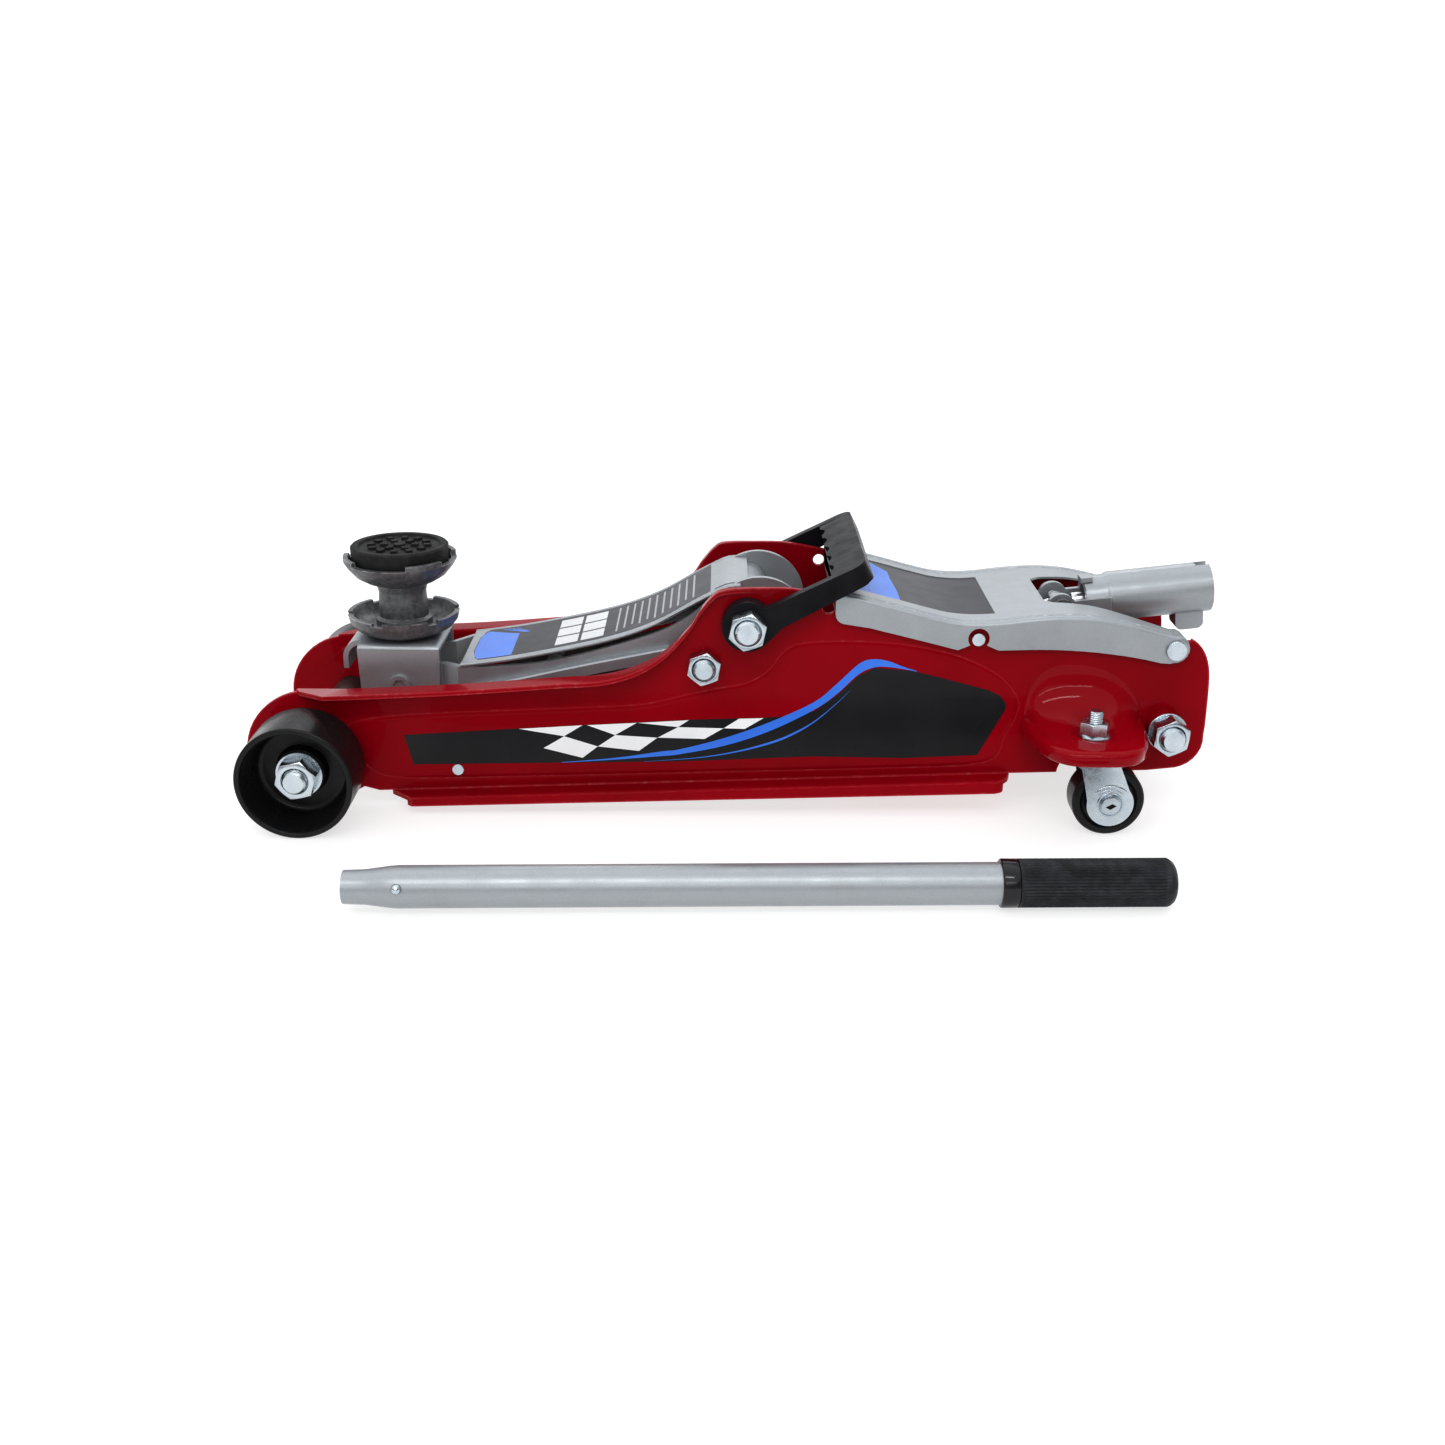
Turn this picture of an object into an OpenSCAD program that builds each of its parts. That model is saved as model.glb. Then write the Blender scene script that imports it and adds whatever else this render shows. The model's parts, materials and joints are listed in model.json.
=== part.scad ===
// Low-profile hydraulic trolley jack with its pump handle lying in front of it.
// Origin: on the floor, below the middle of the box round jack and handle.
// +X points to the rear (the handle socket), -X to the saddle, +Z up. Millimetres.

/* [Frame] */
// Distance between the outer faces of the two side plates
frame_w = 122.6; // [120:0.1:126]
// Thickness of the side plates
plate_t = 3; // [2.5:0.1:3.2]
// Width of the turned-out top flanges
flange_w = 14.5; // [10:0.5:15]
// Distance of the jack's middle plane from the origin
jack_y = 50.8; // [40:0.1:60]
// Height of the main pivot shaft
pivot_z = 131.4; // [130:0.1:132]
// Place of the main pivot shaft along the jack
pivot_x = 8.2; // [7:0.1:9]

/* [Lift arm] */
// Horizontal reach from the main pivot to the saddle pivot, arm lowered
arm_reach = 235; // [230:1:238]
// Drop from the main pivot to the saddle pivot, arm lowered
arm_drop = 55.9; // [54:0.1:58]
// Distance between the outer faces of the arm's side plates
arm_w = 72; // [70:1:73]
// Distance of the ram's crank pin from the main pivot
crank_r = 60; // [58:0.5:61]
// Full swing of the lift arm in degrees
lift_angle = 60; // [50:1:60]

/* [Saddle] */
// Outside radius of the two saddle cups at the rim
cup_r = 38; // [36:0.5:40]
// Radius of the rubber pad
pad_r = 32.8; // [30:0.1:33]
// Height of the pad's top face above the floor, arm lowered
pad_top = 166.5; // [164:0.1:167]

/* [Wheels] */
// Radius of the front wheels
front_wheel_r = 38; // [36:0.5:40]
// Width of the front wheels
front_wheel_w = 43; // [38:1:44]
// Radius of the castor wheels
castor_r = 23.5; // [23:0.5:25]
// Distance of the castor pivots from the middle plane
castor_y = 93; // [92:0.5:95]

/* [Handle] */
// Outside diameter of the pump handle tube
handle_d = 25.4; // [24:0.1:25.6]
// Bore radius of the handle socket
socket_bore_r = 13.1; // [13:0.05:13.3]
// Tilt of the handle socket above the horizontal, lowered, in degrees
socket_tilt = 6.5; // [5:0.5:8]
// Distance of the handle's axis from the jack's middle plane
handle_gap = 206; // [200:1:215]

/* [Hidden] */
$fn = 64;

// clearances
run_gap = 0.06;
fit_gap = 0.1;
side_gap = 0.4;
cut = 1;

// side plates
half_w = frame_w / 2;
inner_w = half_w - plate_t;
flange_y = half_w + flange_w;

// small holes and screws in the side plates
stop_x = 61;
stop_z = 141;
rod_x0 = -184.8;
rod_z0 = 27;
rear_screw_x = 287.2;
rear_screw_z = 114.5;
rear_screw_r = 3;
side_screw_x = 158.6;
side_screw_z = 120.6;
side_screw_r = 2.5;

// front axle
axle_x = -281.4;
axle_z = front_wheel_r;
axle_r = 8;
lobe_r = 44;
front_wheel_out = 115.2;
front_wheel_in = front_wheel_out - front_wheel_w;
hub_face_y = 96;

// main pivot and the linkage hung on it
shaft_r = 8;
shaft_end_y = 90;
boss_in = half_w + 0.5;
boss_out = half_w + 12.5;
anchor_dx = -27.9;
anchor_dz = -29.8;
anchor_r = 7;
anchor_x = pivot_x + anchor_dx;
anchor_z = pivot_z + anchor_dz;
anchor_dist = sqrt(anchor_dx * anchor_dx + anchor_dz * anchor_dz);
saddle_x = pivot_x - arm_reach;
saddle_z = pivot_z - arm_drop;
link_front_x = saddle_x + anchor_dx;
link_front_z = saddle_z + anchor_dz;
arm_out = arm_w / 2;
arm_t = 4;
nose_out = 25.7;
tie_x = -120;
tie_z = 93.5;
tie_r = 6;
crank_x = pivot_x + crank_r * sin(lift_angle / 2);
crank_z = pivot_z - crank_r * cos(lift_angle / 2);
crank_pin_r = 7;
crank_end_r = 5;
hub_tube_r = 15;
disc_x = 17;
disc_z = 121.5;
disc_r = 32.5;

// saddle holder and saddle
holder_out = 30;
holder_t = 4;
holder_top = 104;
holder_front = saddle_x - 27.5;
holder_rear = saddle_x + 28;
saddle_pin_r = 7;
link_pin_r = 5;
stem_r = 14;
cup_rim_z = 119.9;
adapter_rim_z = 159.4;
adapter_low_z = 156.2;
neck_r = 16.5;
pad_t = pad_top - 153.3;

// hydraulic unit
ram_z = 76;
ram_r = 14;
piston_r = 22;
cyl_r = 26;
tank_r = 36;
gland_x = 60;
tank_x = 68;
stud_x = 132;
plug_x = 172;
plug_z = 60;
base_x = 150;
base_rear = 250;
base_w = 35;
base_top = 98;
cross_x = 285.3;
cross_z = 60.2;

// handle socket, pump and release valve
yoke_x = 221;
yoke_z = 128;
cheek_in = 13.1;
cheek_out = 17;
socket_start = 28;
hood_start = 18;
hood_r = 15.6;
lug_w = 8;
socket_end = 103;
seat_r = 10;
seat_end = 53;
pump_angle = 65;
roller_dist = 17;
roller_r = 5;
plunger_r = 5.5;
plunger_x = yoke_x + roller_dist * cos(pump_angle / 4);
roller_x = yoke_x + roller_dist * cos(pump_angle / 2);
roller_z = yoke_z - roller_dist * sin(pump_angle / 2);
plunger_top = roller_z - roller_r - side_gap;
stem_tilt = 20;
valve_r = 4;

// castors
king_x = 232;
castor_x = king_x + 11;
castor_leg_r = 15.2;
castor_notch_r = 15;
shelf_z = 65.5;
shelf_half = 33;
shelf_spread = 8;
shelf_out = 62.7;
shelf_foot = 56;
flare_r = 40;

// carry handle
carry_tilt = 27;
carry_end = 86;
carry_in = half_w + 4.5;
carry_corner_r = 10;

// pump handle
handle_x0 = -229;
handle_x1 = 260;
handle_r = handle_d / 2;
grip_r = 14.6;
grip_x0 = 156.5;
handle_yaw = 1.3;
button_x = -196;

// 2D helpers: outlines are drawn as (x, z)
function spline_point(a, b, c, d, t) =
    0.5 * ((2 * b) + (c - a) * t + (2 * a - 5 * b + 4 * c - d) * t * t
    + (3 * b - a - 3 * c + d) * t * t * t);
function smooth(p, n = 4) = [
    for (i = [0 : len(p) - 2])
        for (k = [0 : n - 1])
            spline_point(p[max(i - 1, 0)], p[i], p[i + 1], p[min(i + 2, len(p) - 1)], k / n),
    p[len(p) - 1]
];
function arc(x, z, r, a0, a1, n = 12) = [
    for (i = [0 : n]) [x + r * cos(a0 + (a1 - a0) * i / n), z + r * sin(a0 + (a1 - a0) * i / n)]
];
function shift(p, dx, dz) = [for (q = p) [q[0] + dx, q[1] + dz]];
function reversed(p) = [for (i = [len(p) - 1 : -1 : 0]) p[i]];

module at_jack() translate([0, jack_y, 0]) children();
module along_y(y0, y1) translate([0, y1, 0]) rotate([90, 0, 0]) linear_extrude(y1 - y0) children();
module both_sides() {
    children();
    mirror([0, 1, 0]) children();
}
module disc(x, z, r) translate([x, z]) circle(r);
module rod_y(x, z, r, y0, y1) along_y(y0, y1) disc(x, z, r);
module ring_y(x, z, r, bore, y0, y1) along_y(y0, y1) difference() {
    disc(x, z, r);
    disc(x, z, bore);
}
module hex_y(x, z, flats, bore, y0, y1, turn = 0) along_y(y0, y1) difference() {
    translate([x, z]) rotate(turn) circle(flats / sqrt(3), $fn = 6);
    disc(x, z, bore);
}
module hex_head(x, z, flats, y0, y1) along_y(y0, y1) translate([x, z])
    circle(flats / sqrt(3), $fn = 6);
module bar(x0, z0, x1, z1, w) translate([x0, z0]) rotate(atan2(z1 - z0, x1 - x0))
    translate([0, -w / 2]) square([norm([x1 - x0, z1 - z0]), w]);

// ---- frame ----
plate_top = smooth([
    [-288.5, 82.8], [-244.5, 84.4], [-177, 88], [-114, 92.9], [-89, 94.5], [-67.6, 99.9],
    [-47.2, 110.4], [-30.5, 127.1], [-22.4, 139.3], [-14, 149.2], [-6, 153], [16.2, 154], [37.4, 153.6],
    [54.3, 150.7], [65, 148.6], [106.5, 138.5], [140.5, 129.8], [154, 128.8], [171.5, 129.3],
    [205, 132.8], [236, 131.6], [275.5, 122.5]
]);
plate_outline = concat(
    arc(axle_x, axle_z, lobe_r, 200, 99, 14), plate_top, [[288, 119.2], [297.4, 119.4]],
    smooth([[298.6, 120.6], [302.3, 118.2], [307.4, 111.8], [310.6, 103.6], [312.2, 94.4], [312.9, 79.6]], 3),
    [[313.2, 60.9]], arc(292.6, 50.8, 20.5, 8, -80, 7),
    [[277.4, 28.6], [186.8, 26], [-238.7, 11.2], [-248.6, 14], [-258, 9], [-300, 9]]
);
module plate_flat() along_y(inner_w, half_w) difference() {
    polygon(plate_outline);
    disc(axle_x, axle_z, axle_r + fit_gap);
    disc(pivot_x, pivot_z, shaft_r + fit_gap);
    disc(anchor_x, anchor_z, anchor_r + fit_gap);
    disc(cross_x, cross_z, axle_r + fit_gap);
    disc(stop_x, stop_z, 4);
    disc(rod_x0, rod_z0, 4 + fit_gap);
    disc(rear_screw_x, rear_screw_z, rear_screw_r + fit_gap);
    disc(side_screw_x, side_screw_z, side_screw_r + fit_gap);
    polygon(concat(
        [[king_x - castor_notch_r, 20]], arc(king_x, 26, castor_notch_r, 180, 0),
        [[king_x + castor_notch_r, 20]]
    ));
}
module top_flange() intersection() {
    along_y(half_w, flange_y) polygon(concat(plate_top, reversed(shift(plate_top, 0, -plate_t))));
    linear_extrude(200) polygon([
        [-288, half_w - cut], [-286, half_w + 3], [-268, flange_y], [-62, flange_y],
        [-24, half_w + 4], [-2, half_w + 1.5], [24, half_w - cut]
    ]);
}
module bottom_flange() intersection() {
    union() {
        along_y(half_w, flange_y) polygon([[-250, 10.8], [185, 26], [185, 23], [-250, 7.8]]);
        along_y(flange_y - plate_t, flange_y) polygon(concat(
            [[-250, 10.8], [180, 25.9]], arc(177, 21.4, 4.5, 75, -80, 5), [[-212, 5.7], [-236, 5.2]]
        ));
    }
    linear_extrude(60) polygon([
        [-231, half_w - cut], [-228, half_w + 2], [-215, flange_y], [174, flange_y],
        [179, flange_y - 2], [183, flange_y - 7], [186, half_w - cut]
    ]);
}
module side_plate() color("firebrick") union() {
    plate_flat();
    top_flange();
    bottom_flange();
}
module side_plate_left() at_jack() mirror([0, 1, 0]) side_plate();
module side_plate_right() at_jack() side_plate();

module bottom_tie_plate() color("firebrick") at_jack()
    translate([72, -inner_w, 29]) cube([120, 2 * inner_w, 3]);

module front_axle() color("silver") at_jack()
    rod_y(axle_x, axle_z, axle_r, -front_wheel_out + 1, front_wheel_out - 1);

module front_axle_tubes() color("dimgray") at_jack() {
    ring_y(axle_x, axle_z, 13, axle_r + fit_gap, -inner_w, inner_w);
    both_sides() ring_y(axle_x, axle_z, 13, axle_r + fit_gap, half_w, front_wheel_in - side_gap);
}

module front_wheel() color([0.07, 0.07, 0.07]) translate([axle_x, 0, axle_z]) rotate([-90, 0, 0])
    rotate_extrude($fn = 96) polygon(concat(
        [[axle_r + run_gap, front_wheel_in + 2], [14, front_wheel_in], [32, front_wheel_in]],
        arc(front_wheel_r - 5, front_wheel_in + 5, 5, -90, 0, 4),
        arc(front_wheel_r - 1.5, front_wheel_out - 1.5, 1.5, 0, 90, 3),
        [[34.6, front_wheel_out], [33.6, front_wheel_out - 2], [31, front_wheel_out - 20]],
        arc(26, front_wheel_out - 22.4, 4.6, 0, -90, 4),
        [[17, front_wheel_out - 27], [16, hub_face_y], [axle_r + run_gap, hub_face_y]]
    ));
module front_wheel_left() at_jack() mirror([0, 1, 0]) front_wheel();
module front_wheel_right() at_jack() front_wheel();

module front_wheel_nuts() color("gainsboro") at_jack() both_sides() {
    ring_y(axle_x, axle_z, 15.5, axle_r + fit_gap, hub_face_y + 0.3, hub_face_y + 3);
    hex_y(axle_x, axle_z, 24, axle_r + fit_gap, hub_face_y + 3, hub_face_y + 14, 12);
}

// ---- main pivot and linkage anchors ----
module main_pivot_shaft() color("silver") at_jack()
    rod_y(pivot_x, pivot_z, shaft_r, -shaft_end_y, shaft_end_y);

module main_pivot_nuts() color("gainsboro") at_jack() both_sides()
    hex_y(pivot_x, pivot_z, 22, shaft_r + fit_gap, boss_out + side_gap, boss_out + 13, 18);

module pivot_spacers() color("dimgray") at_jack() both_sides() {
    ring_y(pivot_x, pivot_z, 12, shaft_r + fit_gap, arm_out + side_gap, inner_w);
    ring_y(anchor_x, anchor_z, 10, anchor_r + fit_gap, 18.5, 23.5);
}

module link_anchor_bolt() color("silver") at_jack()
    rod_y(anchor_x, anchor_z, anchor_r, -half_w - 13.5, half_w + 13.5);

module link_anchor_nuts() color("gainsboro") at_jack() both_sides()
    hex_y(anchor_x, anchor_z, 20, anchor_r + fit_gap, half_w, half_w + 10.5, 20);

module stop_rod() color("silver") at_jack()
    rod_y(rod_x0, rod_z0, 4, -half_w - 2, half_w + 2);

module spring_studs() color("gainsboro") at_jack() both_sides() {
    rod_y(stud_x, crank_z, 4, 39, inner_w);
    rod_y(stud_x, crank_z, 6, 38, 40.5);
    rod_y(stud_x, crank_z, 6, 45.5, 48);
}

// ---- rear of the frame ----
module rear_cross_bolt() color("silver") at_jack()
    rod_y(cross_x, cross_z, axle_r, -half_w - 28, half_w + 28);

module rear_spacer_tubes() color("firebrick") at_jack() {
    ring_y(cross_x, cross_z, 12, axle_r + fit_gap, -inner_w, inner_w);
    both_sides() ring_y(cross_x, cross_z, 12, axle_r + fit_gap, half_w, half_w + 9);
}

module rear_nuts() color("gainsboro") at_jack() both_sides() {
    ring_y(cross_x, cross_z, 13, axle_r + fit_gap, half_w + 9, half_w + 11.4);
    hex_y(cross_x, cross_z, 22, axle_r + fit_gap, half_w + 11.5, half_w + 24, 25);
}

cover_half = 65;
cover_t = 1.6;
cover_front = 65;
recess_half = 44;
recess_front = 70;
recess_rear = 176;
recess_depth = 0.7;
cover_top = smooth([
    [cover_front, 152.4], [87, 147], [106.5, 142], [126, 136.7], [140.5, 133.3], [155, 132],
    [171.5, 132.6], [190.5, 134.9], [205, 136.2], [220, 136.5], [236, 135.4], [255.5, 131.6],
    [275.5, 126.2], [286, 123.4]
]);
cover_skirt = concat(
    cover_top, arc(rear_screw_x, rear_screw_z, 9.6, 75, -95, 8),
    smooth([[278, 105.6], [261, 109.2], [236, 112.6], [211, 114.2], [192, 114.2], [172, 113.6]], 3),
    arc(side_screw_x, side_screw_z + 1, 7, -40, 220, 12),
    [[145.4, 113.8], [127, 118.6], [88, 128.4]], arc(72, 138, 7, -105, -180, 4)
);
cover_opening = [
    [207, -26], [213, -31], [240, -35], [262, -41], [300, -50], [300, 50], [262, 41], [240, 35],
    [213, 31], [207, 26]
];
module cover_hollow() along_y(-cover_half + cover_t, cover_half - cover_t) polygon(concat(
    shift(cover_top, 0, -cover_t), [[320, 116], [320, 60], [20, 60], [20, 165 - cover_t]]
));
module rear_cover() color("silver") at_jack() difference() {
    along_y(-cover_half, cover_half) polygon(cover_skirt);
    cover_hollow();
    linear_extrude(200) polygon(cover_opening);
    along_y(-recess_half, recess_half) polygon(concat(
        [for (p = cover_top) if (p[0] > recess_front && p[0] < recess_rear) [p[0], p[1] - recess_depth]],
        [[recess_rear, 150], [recess_front, 170]]
    ));
    rod_y(rear_screw_x, rear_screw_z, rear_screw_r + fit_gap, -cover_half - cut, cover_half + cut);
}

module cover_screws() color("gainsboro") at_jack() both_sides() {
    rod_y(rear_screw_x, rear_screw_z, 6.6, cover_half, cover_half + 2.6);
    rod_y(rear_screw_x, rear_screw_z, rear_screw_r, 52, cover_half);
    rod_y(side_screw_x, side_screw_z, 4.4, half_w, half_w + 3);
    rod_y(side_screw_x, side_screw_z, side_screw_r, 52, half_w);
}

// ---- castors ----
function power(v, e) = sign(v) * pow(abs(v), e);
function shelf_outline(half, out) = [
    for (i = [0 : 28]) [
        king_x - 1 + (half + shelf_spread * (1 - power(sin(180 * i / 28), 0.55))) * power(cos(180 * i / 28), 0.55),
        half_w + out * power(sin(180 * i / 28), 0.55)
    ]
];
flare_outline = concat([for (p = smooth([
    [-39.6, 60], [-39.4, 72], [-37.6, 81], [-33, 89.4], [-24.5, 97.6], [-12.5, 103.2], [0, 102.6], [11, 97.4],
    [21.4, 87], [29.4, 75.8], [35.6, 66], [37.4, 60]
])) [king_x + p[0], p[1]]]);
module castor_flare() intersection() {
    translate([king_x - 50, 0, 0]) rotate([90, 0, 90]) linear_extrude(100) polygon(concat(
        [[half_w, shelf_z - 3], [half_w, 110]], arc(half_w + flare_r, shelf_z + flare_r, flare_r, 180, 268),
        [[half_w + flare_r, shelf_z - 3]]
    ));
    along_y(half_w, 140) intersection() {
        polygon(flare_outline);
        translate([king_x - 50, shelf_z - 3]) square([100, 60]);
    }
    linear_extrude(140) polygon([
        [king_x - 41, half_w - cut], [king_x - 38.2, half_w + 12], [king_x - 30.6, half_w + 44],
        [king_x + 28.6, half_w + 44], [king_x + 36.2, half_w + 12], [king_x + 39, half_w - cut]
    ]);
}
module castor_bracket() union() {
    translate([0, 0, shelf_z - 3]) linear_extrude(3) polygon(shelf_outline(shelf_half, shelf_out));
    translate([0, 0, shelf_foot]) linear_extrude(shelf_z - shelf_foot) difference() {
        polygon(shelf_outline(shelf_half, shelf_out));
        polygon(concat(
            [[king_x + shelf_half + shelf_spread - 4, half_w - cut]],
            shelf_outline(shelf_half - 3, shelf_out - 3),
            [[king_x - shelf_half - shelf_spread + 2, half_w - cut]]
        ));
    }
    castor_flare();
}
module castor_brackets() color("firebrick") at_jack() both_sides() difference() {
    castor_bracket();
    translate([king_x, castor_y, 50]) cylinder(r = 9.5, h = 11);
    translate([king_x, castor_y, shelf_z]) cylinder(r = 13, h = 60);
    translate([king_x, castor_y, 50]) cylinder(r = 5 + fit_gap, h = 30);
}

module castor_kingpins() color("gainsboro") at_jack() both_sides() translate([king_x, castor_y, 0]) {
    translate([0, 0, 50.3]) cylinder(r = 7, h = 1.4);
    translate([0, 0, 51]) cylinder(r = 5, h = 32);
}

module castor_nuts() color("gainsboro") at_jack() both_sides() translate([king_x, castor_y, shelf_z])
    difference() {
        union() {
            cylinder(r = 10.5, h = 2);
            translate([0, 0, 2]) rotate(8) cylinder(r = 17 / sqrt(3), h = 8.4, $fn = 6);
        }
        translate([0, 0, -cut]) cylinder(r = 5 + fit_gap, h = 14);
    }

module castor_bearings() color("dimgray") at_jack() both_sides() translate([king_x, castor_y, 55.3])
    difference() {
        cylinder(r = 9.2, h = 7.1);
        translate([0, 0, -cut]) cylinder(r = 5 + fit_gap, h = 10);
    }

module castor_leg() along_y(12, 14.5) difference() {
    union() {
        disc(castor_x, castor_r, castor_leg_r);
        polygon([
            [king_x - 13.5, 55], [king_x + 13.5, 55], [king_x + 16.5, 48],
            [castor_x + castor_leg_r - 0.2, castor_r + 2], [castor_x - castor_leg_r + 0.2, castor_r + 2],
            [king_x - 8.5, 47], [king_x - 13.5, 51.5]
        ]);
    }
    disc(castor_x, castor_r, 4 + fit_gap);
}
module castor_fork() color("gainsboro") translate([0, castor_y, 0]) {
    castor_leg();
    mirror([0, 1, 0]) castor_leg();
    difference() {
        translate([king_x - 13.5, -14.5, 52]) cube([27, 29, 3]);
        translate([king_x, 0, 50]) cylinder(r = 5 + run_gap, h = 10);
    }
}
module castor_fork_left() at_jack() mirror([0, 1, 0]) castor_fork();
module castor_fork_right() at_jack() castor_fork();

module castor_wheel() color([0.07, 0.07, 0.07]) translate([castor_x, castor_y, castor_r]) rotate([90, 0, 0])
    rotate_extrude($fn = 72) polygon(concat(
        [[4 + run_gap, -11.4], [8, -11.4], [9, -8], [17, -8], [18.6, -10]],
        arc(castor_r - 2.5, -7.5, 2.5, -90, 0, 4), arc(castor_r - 2.5, 7.5, 2.5, 0, 90, 4),
        [[18.6, 10], [17, 8], [9, 8], [8, 11.4], [4 + run_gap, 11.4]]
    ));
module castor_wheel_left() at_jack() mirror([0, 1, 0]) castor_wheel();
module castor_wheel_right() at_jack() castor_wheel();

module castor_axle() color("gainsboro") translate([0, castor_y, 0]) {
    rod_y(castor_x, castor_r, 4, -14.5, 14.5);
    rod_y(castor_x, castor_r, 6.4, 14.5, 16.4);
    rod_y(castor_x, castor_r, 4.2, 16.4, 18);
    rod_y(castor_x, castor_r, 6.4, -16.4, -14.5);
}
module castor_axle_left() at_jack() mirror([0, 1, 0]) castor_axle();
module castor_axle_right() at_jack() castor_axle();

// ---- lift arm ----
cover_sheet_top = smooth([
    [-184, 93.6], [-167, 95.6], [-147, 98.6], [-127, 102.4], [-107, 106.5], [-87, 111.2], [-67, 117.4],
    [-47, 126], [-27, 137.6], [-14, 144.6], [-4, 149], [9, 149.8]
]);
sheet_t = 2.5;
arm_top = concat([[-183, 91.2], [-176, 92]], smooth([
    [-172, 90.6], [-160, 91.4], [-134, 93.2], [-112, 97.6], [-91, 103], [-70, 109.4], [-48, 117], [-30, 127],
    [-20, 135.4]
], 3));
module arm_outline() difference() {
    union() {
        polygon(concat(
            [[saddle_x - 2, saddle_z + 13]], [[-205, 89]],
            arm_top, [for (p = cover_sheet_top) if (p[0] > -16 && p[0] < -8) [p[0], p[1] - sheet_t]],
            [[pivot_x, 146], [pivot_x + 20, pivot_z - 12], [crank_x + 9, crank_z + 8]],
            [[crank_x, crank_z], [pivot_x - 12, pivot_z - 34]],
            [[-34, 104], [-70, 96], [-120, 84], [-170, 72], [saddle_x + 2, saddle_z - 13]]
        ));
        disc(disc_x, disc_z, disc_r);
        disc(saddle_x, saddle_z, 13);
        disc(crank_x, crank_z, 12);
    }
    anchor_relief();
    disc(saddle_x, saddle_z, saddle_pin_r + run_gap);
    disc(crank_x, crank_z, crank_pin_r + fit_gap);
    disc(pivot_x, pivot_z, hub_tube_r + fit_gap);
}
module anchor_relief() {
    start = atan2(anchor_dz, anchor_dx);
    translate([pivot_x, pivot_z]) intersection() {
        difference() {
            circle(anchor_dist + 8.5);
            circle(anchor_dist - 8.5);
        }
        polygon([[0, 0], [80 * cos(start), 80 * sin(start)], [0, -120], [80 * cos(start + 61), 80 * sin(start + 61)]]);
    }
    disc(anchor_x, anchor_z, 8.5);
    translate([pivot_x, pivot_z]) rotate(lift_angle) translate([anchor_dx, anchor_dz]) circle(8.5);
}
module arm_strip() linear_extrude(220) polygon([
    [saddle_x - 20, nose_out - arm_t], [-196, nose_out - arm_t], [-184, arm_out - arm_t],
    [disc_x + 50, arm_out - arm_t], [disc_x + 50, arm_out], [-186, arm_out], [-198, nose_out],
    [saddle_x - 20, nose_out]
]);
module arm_side_plates() color("silver") at_jack() both_sides() intersection() {
    along_y(10, 50) arm_outline();
    arm_strip();
}

module arm_cover_sheet() color("silver") at_jack() difference() {
    along_y(-38, 38) polygon(concat(cover_sheet_top, reversed(shift(cover_sheet_top, 0, -sheet_t))));
    both_sides() translate([-13, arm_out - arm_t - 0.4, 90]) cube([60, 20, 100]);
}

module arm_hub_tube() color("silver") at_jack()
    ring_y(pivot_x, pivot_z, hub_tube_r, shaft_r + run_gap, -arm_out, arm_out);

module arm_tie_bar() color("silver") at_jack()
    rod_y(tie_x, tie_z, tie_r, -arm_out + arm_t, arm_out - arm_t);

module crank_pin() color("gainsboro") at_jack() {
    rod_y(crank_x, crank_z, crank_pin_r, -arm_out - 1, arm_out + 1);
    both_sides() rod_y(crank_x, crank_z, crank_end_r, arm_out + 1, 49);
}

// ---- saddle holder and saddle ----
module holder_flange() difference() {
    union() {
        polygon([
            [holder_front, holder_top], [holder_rear, holder_top], [holder_rear - 1, saddle_z - 8],
            [saddle_x + 6, saddle_z - 18], [link_front_x + 8, link_front_z - 9], [link_front_x - 9, link_front_z + 6],
            [holder_front + 1, saddle_z - 6]
        ]);
        disc(link_front_x, link_front_z, 11);
    }
    disc(saddle_x, saddle_z, saddle_pin_r + fit_gap);
    disc(link_front_x, link_front_z, link_pin_r + fit_gap);
}
module saddle_holder() color("silver") at_jack() difference() {
    union() {
        both_sides() along_y(holder_out - holder_t, holder_out) holder_flange();
        translate([holder_front, -holder_out, holder_top - 3.5])
            cube([holder_rear - holder_front, 2 * holder_out, 3.5]);
        along_y(-20, 20) polygon(concat(
            [[holder_front + 3, holder_top]], arc(holder_front, holder_top - 12, 12, 90, 180, 6),
            [[holder_front - 12, 84], [holder_front - 8.5, 84]],
            arc(holder_front, holder_top - 12, 8.5, 180, 90, 6), [[holder_front + 3, holder_top - 3.5]]
        ));
    }
    translate([saddle_x, 0, 90]) cylinder(r = stem_r + run_gap, h = 30);
}

module holder_pins() color("dimgray") at_jack() {
    rod_y(link_front_x, link_front_z, link_pin_r, -holder_out - 1.5, holder_out + 1.5);
    rod_y(saddle_x, saddle_z, saddle_pin_r, -holder_out, holder_out);
    both_sides() difference() {
        rod_y(saddle_x, saddle_z, 7.4, holder_out, holder_out + 2.5);
        hex_head(saddle_x, saddle_z, 8, holder_out + 0.8, holder_out + 3);
    }
}

module cup_notches(count, rim_z, depth) for (i = [0 : count - 1]) rotate(360 * i / count + 12)
    translate([cup_r - 6, -4, rim_z - depth]) cube([12, 8, depth + cut]);

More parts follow.
